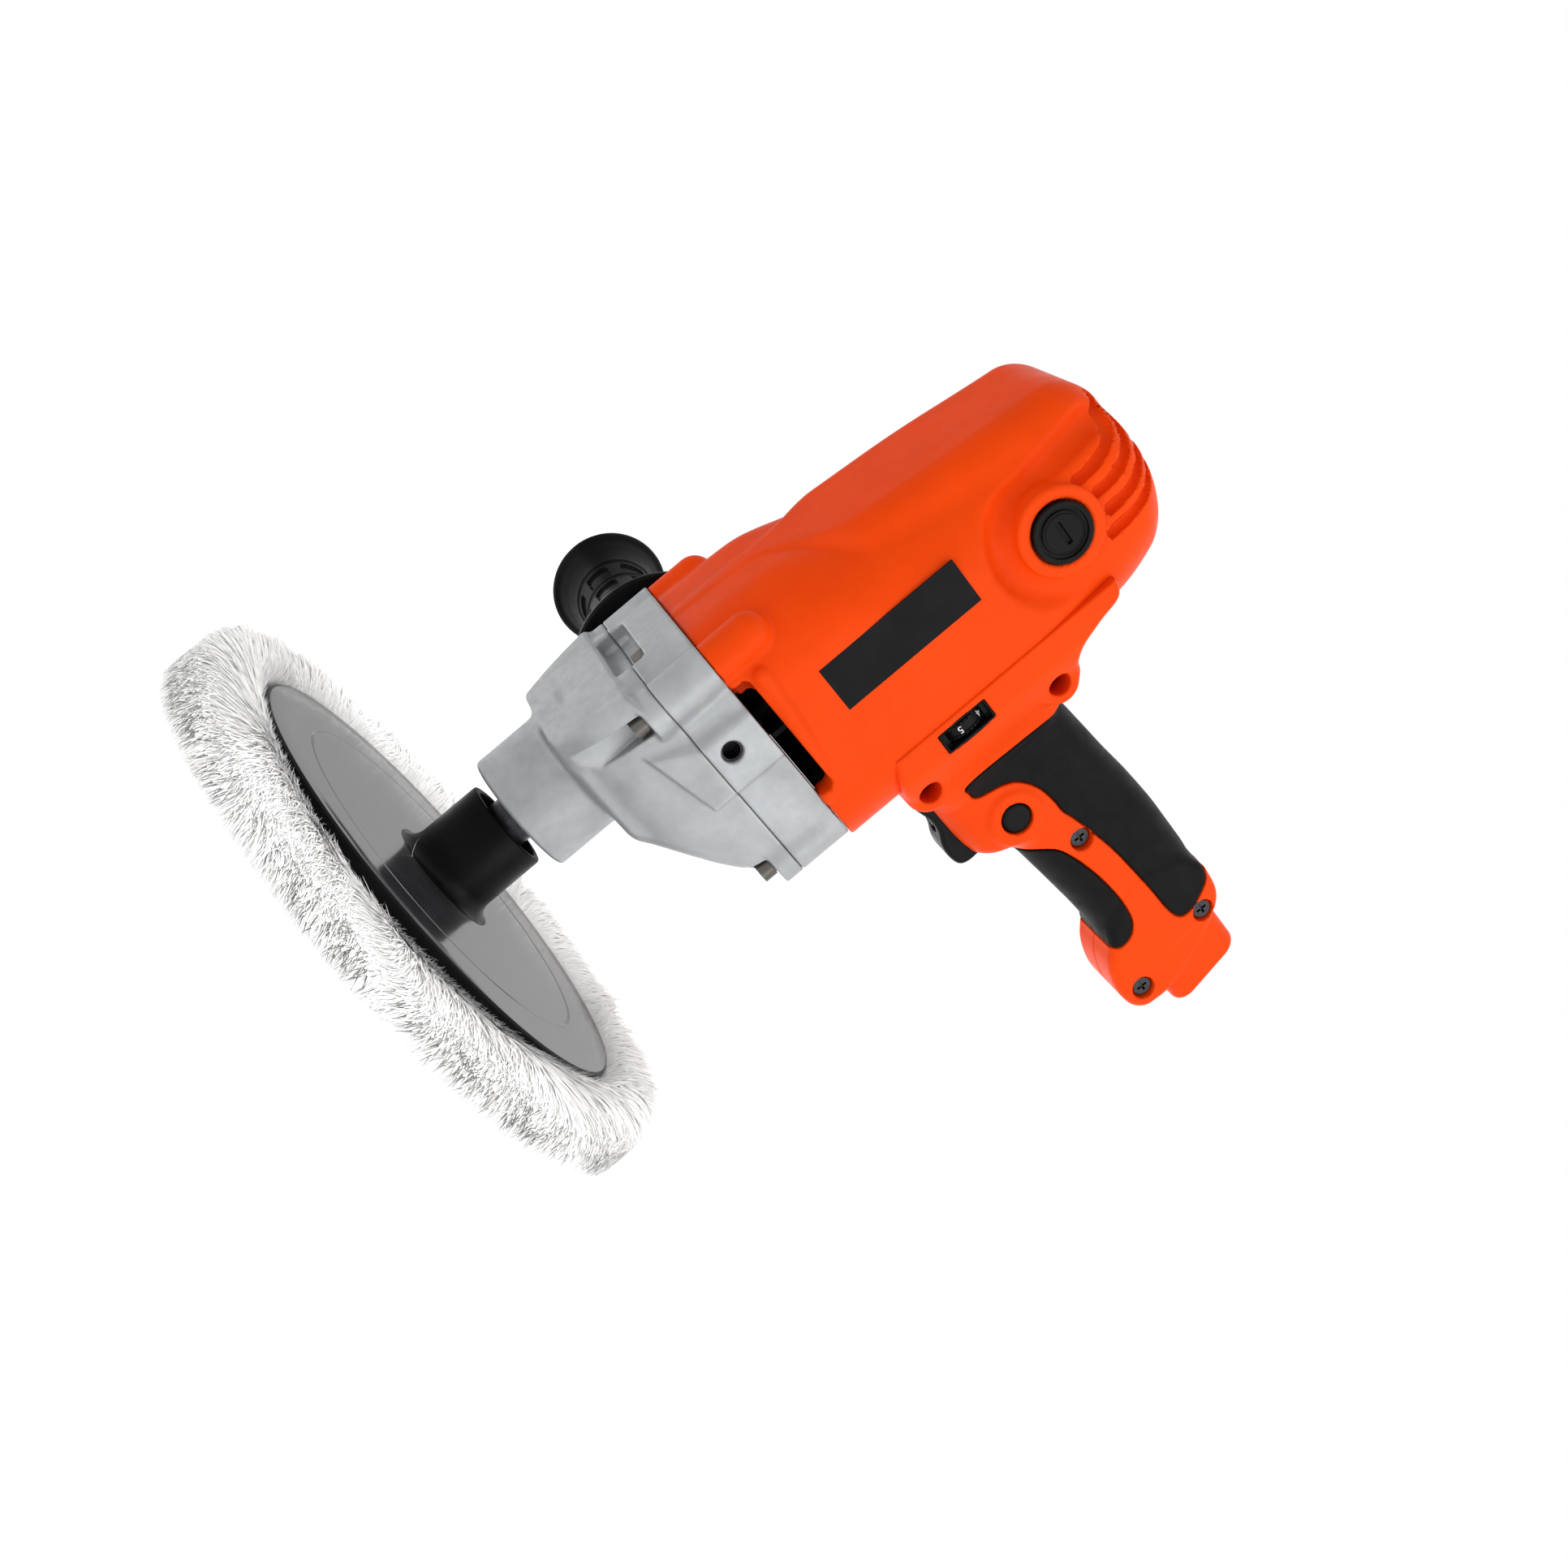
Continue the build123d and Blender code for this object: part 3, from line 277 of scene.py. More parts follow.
MATERIALS = {
    "orange": material("orange_nylon", (0.80, 0.058, 0.003), 0.42, ((38, 3), 0.93, 1.03),
                       ((9, 4), 0.31, 0.42), [((0.55, 2), 0.012), ((14, 3), 0.05, 0.5)],
                       Specular_IOR_Level=0.05),
    "aluminium": material("cast_aluminium", (0.40, 0.415, 0.425), 0.46, ((16, 5, 0.65), 0.88, 1.08),
                          ((3.0, 4), 0.36, 0.50), [((0.7, 3, 0.7), 0.03), ((7, 4), 0.06, 0.6)],
                          metallic=0.35, Specular_IOR_Level=0.4),
    "steel": machined_steel("turned_steel", (0.55, 0.55, 0.55), 0.28),
    "screw": machined_steel("screw_steel", (0.13, 0.12, 0.11), 0.3),
    "gear": machined_steel("hardened_gear_steel", (0.30, 0.30, 0.31), 0.35),
    "black": black_moulding("black_nylon", 0.004, 0.33, 0.6, 0.015),
    "grip": black_moulding("soft_touch_rubber", 0.004, 0.50, 0.5, 0.02),
    "rubber": black_moulding("black_rubber", 0.005, 0.6, 0.8, 0.03),
    "dark_steel": machined_steel("blackened_steel", (0.045, 0.045, 0.05), 0.35),
    "plate": material("polished_plate", (0.030, 0.029, 0.032), 0.14, ((30, 4), 0.8, 1.3),
                      ((4, 6, 0.7), 0.12, 0.2), [((0.8, 3), 0.002)], IOR=2.3, Specular_IOR_Level=0.5),
    "copper": material("varnished_copper", (0.62, 0.24, 0.10), 0.3, ((3, 3), 0.6, 1.2),
                       bumps=[((0.8, 1, 0.55, (6, 6, 1)), 0.12)], metallic=0.9),
    "sheets": material("stacked_sheets", (0.20, 0.20, 0.22), 0.45, ((6, 4), 0.7, 1.2),
                       bumps=[((0.6, 1, 0.55, (0.02, 0.02, 3)), 0.08)], metallic=0.9),
    "carbon": material("pressed_carbon", (0.035, 0.035, 0.038), 0.55, ((1.5, 4), 0.7, 1.5),
                       bumps=[((0.4, 3), 0.03)]),
    "board": material("circuit_board", (0.02, 0.16, 0.07), 0.35, ((3.0,), 0.6, 1.4, 0.2, 0.5),
                      bumps=[((0.9, 2), 0.03)]),
    "bronze": material("sintered_bronze", (0.50, 0.33, 0.13), 0.4, ((2, 4), 0.75, 1.15),
                       bumps=[((0.5, 3), 0.02)], metallic=1.0),
    "foam": material("yellow_foam", (0.86, 0.66, 0.16), 0.85, ((0.9,), 0.55, 1.1, 0.1, 0.6),
                     bumps=[((0.9,), 0.35)], Specular_IOR_Level=0.2),
    "wool": wool_material("lambswool", (0.95, 0.945, 0.935), (0.90, 0.89, 0.875)),
    "wool_core": wool_material("lambswool_core", (0.95, 0.94, 0.925), (0.90, 0.885, 0.865)),
    "film": material("label_film", (0.006, 0.006, 0.007), 0.42, ((14, 3), 0.85, 1.2), ((9.0, 3), 0.38, 0.46),
                     [((0.5, 2), 0.001)], Specular_IOR_Level=0.08),
    "ink": material("white_ink", (0.75, 0.75, 0.75), 0.5, ((0.6, 3), 0.85, 1.05)),
}

SLOT_MATERIAL = {
    "wool": "wool_core", "foam": "foam", "plate_plastic": "plate", "steel": "steel", "gear_steel": "gear",
    "seal_rubber": "rubber", "bronze": "bronze", "cast_aluminium": "aluminium", "laminations": "sheets",
    "copper": "copper", "black_plastic": "black", "housing_orange": "orange", "label_black": "film",
    "carbon": "carbon", "soft_grip": "grip", "board_green": "board",
}
NODE_MATERIAL = {"gear_case_screws": "screw", "handle_screws": "dark_steel", "spindle": "dark_steel"}


def dress_frame():
    """Every CAD node gets the procedural material of its slot, or one of its own."""
    slots = {entry["node"]: entry["material_slot"] for entry in frame["record"]["subparts"]}
    for name, obj in frame["nodes"].items():
        for material_slot in obj.material_slots:
            material_slot.material = MATERIALS[NODE_MATERIAL.get(name, SLOT_MATERIAL[slots[name]])]


# ---------------------------------------------------------------- distance fields

def curve(t, knots):
    """Smooth value at t through (position, value) knots, without overshoot."""
    at = np.array([k[0] for k in knots], float)
    value = np.array([k[1] for k in knots], float)
    step = np.diff(at)
    slope = np.diff(value) / step
    tangent = np.zeros(len(at))
    tangent[0] = slope[0]
    tangent[-1] = slope[-1]
    for i in range(1, len(at) - 1):
        before, after = slope[i - 1], slope[i]
        tangent[i] = 0.0 if before * after <= 0 else 2 * before * after / (before + after)
    t = np.clip(t, at[0], at[-1])
    i = np.clip(np.searchsorted(at, t) - 1, 0, len(step) - 1)
    s = (t - at[i]) / step[i]
    first = (1 + 2 * s) * (1 - s) ** 2 * value[i] + s * (1 - s) ** 2 * step[i] * tangent[i]
    return first + s * s * (3 - 2 * s) * value[i + 1] + s * s * (s - 1) * step[i] * tangent[i + 1]


def join(a, b, k):
    """Union with a fillet of about k."""
    h = np.clip(0.5 + 0.5 * (b - a) / k, 0, 1)
    return b + (a - b) * h - k * h * (1 - h)


def cut(a, b, k):
    """a without b, with softened edges."""
    return -join(-a, b, k)


def meet(a, b, r):
    """Intersection with a rounded edge of radius r."""
    return np.minimum(-r, np.maximum(a, b)) + np.hypot(np.maximum(a + r, 0), np.maximum(b + r, 0))


def rounded(u, v, half_u, half_v, r):
    """Rounded rectangle in two dimensions."""
    a = np.abs(u) - half_u + r
    b = np.abs(v) - half_v + r
    return np.minimum(np.maximum(a, b), 0) + np.hypot(np.maximum(a, 0), np.maximum(b, 0)) - r


def box(x, y, z, low, high, r):
    """Rounded box between two corners."""
    half = [(b - a) / 2 for a, b in zip(low, high)]
    mid = [(b + a) / 2 for a, b in zip(low, high)]
    q = [np.abs(v - m) - h + r for v, m, h in zip((x, y, z), mid, half)]
    outside = np.sqrt(sum(np.maximum(v, 0) ** 2 for v in q))
    return outside + np.minimum(np.maximum(np.maximum(q[0], q[1]), q[2]), 0) - r


def rod(x, y, z, start, end, r):
    """Capsule between two points."""
    along = [b - a for a, b in zip(start, end)]
    square = sum(v * v for v in along)
    off = [v - a for v, a in zip((x, y, z), start)]
    h = np.clip(sum(o * v for o, v in zip(off, along)) / square, 0, 1)
    return np.sqrt(sum((o - h * v) ** 2 for o, v in zip(off, along))) - r


def chain(x, y, z, points, r):
    """Capsules through a row of points."""
    result = rod(x, y, z, points[0], points[1], r)
    for start, end in zip(points[1:-1], points[2:]):
        result = np.minimum(result, rod(x, y, z, start, end, r))
    return result


def pillar(u, v, w, cu, cv, radius, low, high, edge):
    """Cylinder along w with rounded edges."""
    side = np.hypot(u - cu, v - cv) - radius
    return meet(side, np.maximum(low - w, w - high), edge)


class Outline:
    """Closed smooth outline in the XZ plane, as a distance that is looked up from a fine grid."""

    def __init__(self, points, margin=14.0, cell=0.5, steps=6):
        pts = np.array(points, float)
        curve_points = []
        for i in range(len(pts)):
            p0, p1, p2, p3 = (pts[(i + k) % len(pts)] for k in (-1, 0, 1, 2))
            for s in np.arange(steps) / steps:
                curve_points.append(0.5 * (2 * p1 + (p2 - p0) * s + (2 * p0 - 5 * p1 + 4 * p2 - p3) * s * s
                                           + (3 * p1 - p0 - 3 * p2 + p3) * s ** 3))
        loop = np.array(curve_points)
        self.low = loop.min(0) - margin
        self.cell = cell
        counts = np.ceil((loop.max(0) + margin - self.low) / cell).astype(int) + 1
        x, z = np.meshgrid(*(self.low[k] + cell * np.arange(counts[k]) for k in (0, 1)), indexing="ij")
        nearest = np.full(x.shape, 1e9)
        inside = np.zeros(x.shape, bool)
        for a, b in zip(loop, np.roll(loop, -1, 0)):
            edge = b - a
            h = np.clip(((x - a[0]) * edge[0] + (z - a[1]) * edge[1]) / (edge @ edge), 0, 1)
            nearest = np.minimum(nearest, (x - a[0] - h * edge[0]) ** 2 + (z - a[1] - h * edge[1]) ** 2)
            crosses = (a[1] > z) != (b[1] > z)
            if abs(edge[1]) > 1e-12:
                inside ^= crosses & (x < a[0] + (z - a[1]) * edge[0] / edge[1])
        self.values = np.sqrt(nearest) * np.where(inside, -1, 1)

    def __call__(self, x, z):
        u = (x - self.low[0]) / self.cell
        v = (z - self.low[1]) / self.cell
        rows, columns = self.values.shape
        i = np.clip(u.astype(int), 0, rows - 2)
        j = np.clip(v.astype(int), 0, columns - 2)
        beyond = np.hypot(u - np.clip(u, 0, rows - 1), v - np.clip(v, 0, columns - 1)) * self.cell
        s = np.clip(u - i, 0, 1)
        t = np.clip(v - j, 0, 1)
        g = self.values
        low = g[i, j] * (1 - s) + g[i + 1, j] * s
        high = g[i, j + 1] * (1 - s) + g[i + 1, j + 1] * s
        return low * (1 - t) + high * t + beyond


CORNERS = np.array([(i, j, k) for i in (0, 1) for j in (0, 1) for k in (0, 1)])
CELL_EDGES = [(a, b) for a in range(8) for b in range(a + 1, 8) if np.abs(CORNERS[a] - CORNERS[b]).sum() == 1]
BLOCK = 200000


def sample(field, points):
    """Field values at many points, in blocks that fit in the cache."""
    blocks = np.split(points, range(BLOCK, len(points), BLOCK))
    return np.concatenate([field(*block.T) for block in blocks])


def gradient(field, points, h):
    slopes = []
    for offset in np.eye(3) * h:
        slopes.append((sample(field, points + offset) - sample(field, points - offset)) / (2 * h))
    return np.stack(slopes, 1)


def grid_values(field, low, counts, cell, stride=4):
    """Field on a grid, worked out finely only near the surface."""
    coarse_axes = [low[k] + cell * stride * np.arange((counts[k] - 1) // stride + 1) for k in range(3)]
    coarse_points = np.stack(np.meshgrid(*coarse_axes, indexing="ij"), -1)
    shape = coarse_points.shape[:3]
    coarse = sample(field, coarse_points.reshape(-1, 3)).reshape(shape)
    near = np.abs(coarse) < stride * cell * 1.9
    blocks = np.zeros(tuple(n - 1 for n in shape), bool)
    for i, j, k in CORNERS:
        blocks |= near[i:shape[0] - 1 + i, j:shape[1] - 1 + j, k:shape[2] - 1 + k]
    values, full = coarse, blocks
    for axis in range(3):
        values = np.repeat(values, stride, axis)
        full = np.repeat(full, stride, axis)
    values = values[:counts[0], :counts[1], :counts[2]].copy()
    wanted = np.zeros(tuple(counts), bool)
    wanted[:-1, :-1, :-1] = full
    for axis in range(3):
        wanted |= np.roll(wanted, 1, axis)
    index = np.argwhere(wanted)
    values[wanted] = sample(field, low + index * cell)
    return values


def surface_nets(values, low, cell):
    """Quad mesh of the zero surface: one vertex in each cell that it crosses."""
    inside = values < 0
    shape = tuple(n - 1 for n in values.shape)
    count = np.zeros(shape, np.int8)
    for i, j, k in CORNERS:
        count += inside[i:shape[0] + i, j:shape[1] + j, k:shape[2] + k]
    active = np.argwhere((count > 0) & (count < 8))
    corner_values = np.stack([values[tuple((active + c).T)] for c in CORNERS], 1)
    total = np.zeros((len(active), 3))
    hits = np.zeros(len(active))
    for a, b in CELL_EDGES:
        va, vb = corner_values[:, a], corner_values[:, b]
        crosses = (va < 0) != (vb < 0)
        s = np.where(crosses, va / np.where(crosses, va - vb, 1), 0)
        total += np.where(crosses[:, None], CORNERS[a] + s[:, None] * (CORNERS[b] - CORNERS[a]), 0)
        hits += crosses
    points = low + cell * (active + total / hits[:, None])
    ids = np.full(shape, -1, np.int64)
    ids[tuple(active.T)] = np.arange(len(active))
    quads = []
    unit = np.eye(3, dtype=int)
    for axis in range(3):
        u, v = (axis + 1) % 3, (axis + 2) % 3
        first = inside[tuple(slice(0, n - a) for n, a in zip(values.shape, unit[axis]))]
        second = inside[tuple(slice(a, None) for a in unit[axis])]
        edges = np.argwhere(first != second)
        keep = (edges[:, u] > 0) & (edges[:, v] > 0) & (edges[:, u] < shape[u]) & (edges[:, v] < shape[v])
        edges = edges[keep]
        rising = first[tuple(edges.T)]
        offsets = (0 * unit[u], unit[u], unit[u] + unit[v], unit[v])
        ring = [ids[tuple((edges - offset).T)] for offset in offsets]
        quad = np.stack(ring, 1)
        quad[~rising] = quad[~rising][:, ::-1]
        quads.append(quad)
    return points, np.concatenate(quads)


def mesh_object(name, points, quads, normals):
    """Blender mesh from points in millimetres and faces with equal numbers of corners."""
    mesh = bpy.data.meshes.new(name)
    sides = quads.shape[1]
    mesh.vertices.add(len(points))
    mesh.vertices.foreach_set("co", (points * MM).astype(np.float32).ravel())
    mesh.loops.add(quads.size)
    mesh.loops.foreach_set("vertex_index", quads.astype(np.int32).ravel())
    mesh.polygons.add(len(quads))
    mesh.polygons.foreach_set("loop_start", (np.arange(len(quads)) * sides).astype(np.int32))
    mesh.polygons.foreach_set("loop_total", np.full(len(quads), sides, np.int32))
    mesh.shade_smooth()
    mesh.update(calc_edges=True)
    mesh.validate()
    if len(mesh.vertices) == len(points):
        mesh.normals_split_custom_set_from_vertices(normals.astype(float).tolist())
    return placed(name, mesh)


def field_piece(name, field, low, high, cell):
    """Meshes a field inside a box and settles its vertices on the true surface."""
    low = np.array(low, float) - 2 * cell
    counts = np.ceil((np.array(high, float) + 2 * cell - low) / cell / 4).astype(int) * 4 + 1
    values = grid_values(field, low, counts, cell)
    points, quads = surface_nets(values, low, cell)
    for _ in range(2):
        slope = gradient(field, points, cell * 0.2)
        size = np.maximum((slope * slope).sum(1), 0.05)
        step = -sample(field, points)[:, None] * slope / size[:, None]
        length = np.maximum(np.linalg.norm(step, axis=1, keepdims=True), 1e-9)
        points = points + step * np.minimum(1, cell * 0.5 / length)
    slope = gradient(field, points, cell * 0.35)
    normals = slope / np.maximum(np.linalg.norm(slope, axis=1, keepdims=True), 1e-6)
    return mesh_object(name, points, quads, normals)


def finish_piece(obj, body, slot, *replaced, look=None):
    """Material, body, record slot and the CAD nodes that a piece stands for."""
    obj.data.materials.clear()
    obj.data.materials.append(MATERIALS[look or SLOT_MATERIAL[slot]])
    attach(obj, body)
    if slot == "wool":
        WOOL_PIECES.objects.link(obj)
    if replaced:
        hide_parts(*replaced)


def moulding(name, field, low, high, cell, slot, *replaced):
    """A meshed field, finished as a piece of the tool."""
    finish_piece(field_piece(name, field, low, high, cell), TOOL, slot, *replaced)


# ---------------------------------------------------------------- motor housing

HOUSING_LOW = ((145, -20.5), (175, -19.5), (210, -14.5), (250, -10.5), (285, -6.5), (310, -4))
HOUSING_HIGH = ((145, 79), (246, 79), (257, 77.5), (268, 75), (280, 73), (291, 69.5), (300, 65), (310, 57))
HOUSING_HALF = ((145, 47.1), (236, 46.9), (262, 45.6), (310, 43.5))
SPINE_DROP = ((145, 0), (178, 0), (212, 4.2), (250, 5.2), (290, 6.0))
SPINE_HALF = ((145, 2), (180, 7), (214, 34), (250, 36), (290, 34))
SPINE_CORNER = ((145, 1.5), (180, 5), (214, 13), (310, 16))
WALL = 3.2
HOUSING_FOOT = FLANGE_Z + 0.15
MAIN_CORNER = 29.0
SPINE_REACH = 19.0


def housing_body(x, y, z):
    """Barrel: rounded sections, a spine that rises along the top and a domed rear end."""
    low = curve(z, HOUSING_LOW)
    high = curve(z, HOUSING_HIGH)
    half = curve(z, HOUSING_HALF)
    main_low = low + curve(z, SPINE_DROP)
    main = rounded(x - (main_low + high) / 2, y, (high - main_low) / 2, half, MAIN_CORNER)
    spine = rounded(x - low - SPINE_REACH, y, SPINE_REACH, curve(z, SPINE_HALF),
                    curve(z, SPINE_CORNER)) * 0.85
    body = join(main, spine, 2.2)
    body = meet(body, z - (HOUSING_TOP - 0.3), 16.0)
    return meet(body, HOUSING_FOOT - z, 0.9)


LOUVER_STARTS = ((19.8, 280.5), (28.0, 284.5), (36.0, 284.8), (43.6, 281.0))
SLOT_LID = ((0.0, 45.0, 156.0), (14.0, 45.6, 155.4), (29.0, 45.8, 153.6), (42.0, 45.6, 150.6),
            (50.0, 45.0, 147.5))
LID_RADIUS = 3.4
CHANNEL_RADIUS = 5.6
CHANNEL_BEND = 22.0
LOUVER_RADIUS = 2.2
LOUVER_DEPTH = 1.4
BRUSH_BOSS_RADIUS = 16.4
BRUSH_BORES = ((11.6, 45.4), (9.1, 20.0))
FAN_ROOM = (41.5, 166.0)
STATOR_ROOM = (37.4, 240.0)
CHAMBER_TOP = 292.0


def on_housing(points, depth):
    """Points moved to a given depth below the skin of the housing, one depth or one for each."""
    points = np.array(points, float)
    for _ in range(8):
        slope = gradient(housing_body, points, 0.2)
        height = housing_body(*points.T) + depth
        points -= slope * (height / np.maximum((slope ** 2).sum(1), 0.1))[:, None]
    return points


def brush_channel():
    """Middle line of the channel that comes down the corner and bends round the brush boss."""
    line = [(7.0, 38.0, 304.0), (6.8, 40.0, 294.0), (7.0, 42.0, 283.0), (7.3, 44.0, 274.0)]
    depth = [-1.0] * 4
    for angle in range(175, 341, 15):
        turn = math.radians(angle)
        line.append((MOTOR_X + CHANNEL_BEND * math.cos(turn), 46.0, BRUSH_Z + CHANNEL_BEND * math.sin(turn)))
        depth.append(-1.2 - 3.4 * max(0.0, (angle - 265) / 75) ** 1.5)
    return on_housing(line, np.array(depth))


def louver_paths():
    """Middle lines of the four curved grooves that run up and over onto the rear face."""
    paths = []
    for start_x, start_z in LOUVER_STARTS:
        rise = 308.0 - start_z
        line = [(start_x - 14.0 * t ** 2.2, 45.5 - 22.0 * t ** 2, start_z + rise * math.sin(t * 1.5))
                for t in (0, 0.14, 0.28, 0.42, 0.56, 0.7, 0.85, 1.0)]
        paths.append(on_housing(line, LOUVER_DEPTH))
    return paths


def louvers(x, y, z):
    side = np.abs(y)
    return np.minimum.reduce([chain(x, side, z, path, LOUVER_RADIUS) for path in LOUVER_PATHS])


def housing_room(body, x, y, z):
    """What is hollow inside: fan chamber, stator bore and brush chamber."""
    from_axis = np.hypot(x - MOTOR_X, y)
    fan, bore = (np.maximum(from_axis - radius, z - top) for radius, top in (FAN_ROOM, STATOR_ROOM))
    chamber = meet(meet(body + WALL, z - CHAMBER_TOP, 6.0), STATOR_ROOM[1] - z, 2.0)
    chamber = np.maximum(chamber, 2.4 - chain(x, np.abs(y), z, BRUSH_CHANNEL, CHANNEL_RADIUS))
    chamber = np.maximum(chamber, 2.8 - louvers(x, y, z))
    return np.minimum(np.minimum(fan, bore), chamber)


def dial_well(x, y, z):
    """Window and wheel room of the speed dial, through the handle shell and the housing wall."""
    window = box(x, y, z, (60.0, -60.0, 189.4), (69.0, -33.0, 210.6), 0.8)
    wheel = pillar(y, z, x, DIAL[1], DIAL[2], DIAL_RADIUS + 1.6, 59.8, 69.2, 0.2)
    return np.minimum(window, wheel)


def housing_field(x, y, z):
    body = housing_body(x, y, z)
    side = np.abs(y)
    rib = rod(x, side, z, (-12.0, 38.2, 130.0), (-12.0, 38.0, 161.5), 8.0)
    lid = chain(x, side, z, SLOT_LID, LID_RADIUS)
    shape = join(body, np.maximum(rib, HOUSING_FOOT - z), 2.2)
    shape = join(shape, np.maximum(lid, HOUSING_FOOT - z), 1.2)
    shape = cut(shape, chain(x, side, z, BRUSH_CHANNEL, CHANNEL_RADIUS), 2.4)
    boss = pillar(x, z, side, MOTOR_X, BRUSH_Z, BRUSH_BOSS_RADIUS, 30.0, 48.0, 1.2)
    shape = join(shape, boss, 1.0)
    shape = np.maximum(shape, -housing_room(body, x, y, z))
    for radius, floor in BRUSH_BORES:
        shape = cut(shape, pillar(x, z, side, MOTOR_X, BRUSH_Z, radius, floor, 60.0, 0.2), 0.8)
    slot = box(x, side, z, (-2.5, 34.0, 140.0), (48.0, 60.0, 151.6), 2.6)
    shape = cut(shape, slot, 0.9)
    shape = cut(shape, dial_well(x, y, z), 0.5)
    return cut(shape, louvers(x, y, z), 0.7)


BRUSH_CHANNEL = brush_channel()
LOUVER_PATHS = louver_paths()


def make_housing():
    moulding("motor_housing_moulding", housing_field, (-24, -52, 144), (82, 52, 310), 1.2,
             "housing_orange", "motor_housing")


# ---------------------------------------------------------------- gear case

CASE_WIDE = ((84, 30.5), (90, 34.0), (97, 37.8), (106, 41.3), (116, 44.0), (124, 45.2), (146, 45.9))
CASE_FAR = ((84, 25), (88, 30), (92, 36), (97, 43.5), (102, 51), (108, 59), (114, 66.5), (119, 71), (124, 75),
            (146, 78.3))
CASE_CORNER = ((84, 8), (100, 9), (112, 12), (120, 20), (128, 26), (146, 29))
CASE_STEP = ((84, 0.5), (92, 2.6), (118, 3.2), (124, 2.4), (138, 2.0), (146, 0.6))
SEAM = 0.05
NECK_RADIUS = 23.55
SEAL_BORE = 17.8
BLOCK_END_X = -7.5
SIDE_FACE = 47.8
SIDE_FOOT = 46.0
GEAR_FLOOR = 97.0
LAY_AXIS = (17.8, 21.0)
SCREW_RIB = 9.0
CHANNEL_HALF = 5.0
CHANNEL_TOP = 116.3
SIDE_HOLE_RADIUS = 4.0
CASE_SCREWS = ((-12.0, 38.0), (62.0, 35.0))
TOP_SCREW = Vector((-20.4, -13.0, 125.4))


def side_pad(x, side, z):
    """Raised flat on the side with the threaded hole, and a facet that slopes away in front of it."""
    face = side - SIDE_FACE
    slope = ((z - 122.5) * -0.42 + face) / 1.085
    flat = meet(face, slope, 1.0)
    left = (4.6 - x + (side - SIDE_FOOT) * 0.9) / 1.35
    right = (x - 27.4 + (side - SIDE_FOOT) * 0.5) / 1.12
    ends = np.maximum(108.8 - z + (x - 4) * 0.22, z - 150.0)
    pad = meet(meet(flat, left, 1.0), meet(right, ends, 1.0), 1.0)
    return np.maximum(pad, 36.0 - side)


def case_body(x, y, z):
    side = np.abs(y)
    neck = pillar(x, y, z, 0, 0, NECK_RADIUS, NECK_BOTTOM + 0.1, 96.0, 1.2)
    low = np.full(np.shape(x), CASE_TOP_X + 0.4)
    high = curve(z, CASE_FAR)
    half = curve(z, CASE_WIDE)
    corner = curve(z, CASE_CORNER)
    start = 85.0 - z - np.minimum(x, 0) * 0.03
    cone = rounded(x - (low + high) / 2, y, (high - low) / 2, half - curve(z, CASE_STEP), corner)
    cone = meet(cone * 0.9, start, 2.2)
    block = rounded(x - (low + BLOCK_END_X) / 2, y, (BLOCK_END_X - low) / 2, half, 7.0)
    block = meet(block * 0.9, np.maximum(start, z - 117.5), 1.6)
    body = join(join(neck, cone, 3.5), block, 1.4)
    for cx, cy in CASE_SCREWS:
        rib = pillar(x, side, z, cx, cy, SCREW_RIB, 116.6, 160.0, 0.8)
        body = join(body, rib, 2.5)
    return join(body, side_pad(x, side, z), 1.5)


def case_cuts(shape, x, y, z):
    """Open channels down to the four screw heads, the top pocket and the side holes."""
    side = np.abs(y)
    for cx, cy in CASE_SCREWS:
        channel = meet(np.abs(x - cx) - CHANNEL_HALF, np.maximum(cy - 4.6 - side, z - CHANNEL_TOP), 0.5)
        shape = cut(shape, channel, 0.7)
    pocket = box(x, y, z, (-60.0, -20.0, 117.6), (-16.8, 20.0, 130.0), 2.6)
    shape = cut(shape, pocket, 1.0)
    hole = pillar(x, z, side, SIDE_AXIS[0], SIDE_AXIS[2], SIDE_HOLE_RADIUS, 36.0, 60.0, 0.1)
    return cut(shape, hole, 0.9)


def gear_room(x, y, z):
    """Space for the two gear stages and the bearing bore in front of them."""
    rooms = (((0, 0), 22.0, GEAR_FLOOR, 114.5), (LAY_AXIS, 20.8, GEAR_FLOOR, 127.0),
             ((MOTOR_X, 0), 12.0, 112.0, 128.0), ((0, 0), 13.5, -math.inf, 100.0))
    return np.minimum.reduce([
        np.maximum(np.hypot(x - cx, y - cy) - radius, np.maximum(low - z, z - high))
        for (cx, cy), radius, low, high in rooms])


def case_front_field(x, y, z):
    shape = case_cuts(case_body(x, y, z), x, y, z)
    shape = meet(shape, z - (PARTING_Z - SEAM), 0.8)
    shape = cut(shape, pillar(x, y, z, 0, 0, SEAL_BORE, 40.0, 66.0, 0.3), 0.8)
    return np.maximum(shape, -gear_room(x, y, z))


def case_rear_field(x, y, z):
    shape = case_cuts(case_body(x, y, z), x, y, z)
    shape = meet(shape, PARTING_Z + SEAM - z, 0.8)
    shape = meet(shape, z - (FLANGE_Z - SEAM), 0.7)
    shaft = np.hypot(x - MOTOR_X, y)
    room = np.minimum(shaft - 14.0, np.maximum(shaft - 38.0, 141.0 - z))
    return np.maximum(shape, -np.minimum(room, gear_room(x, y, z)))


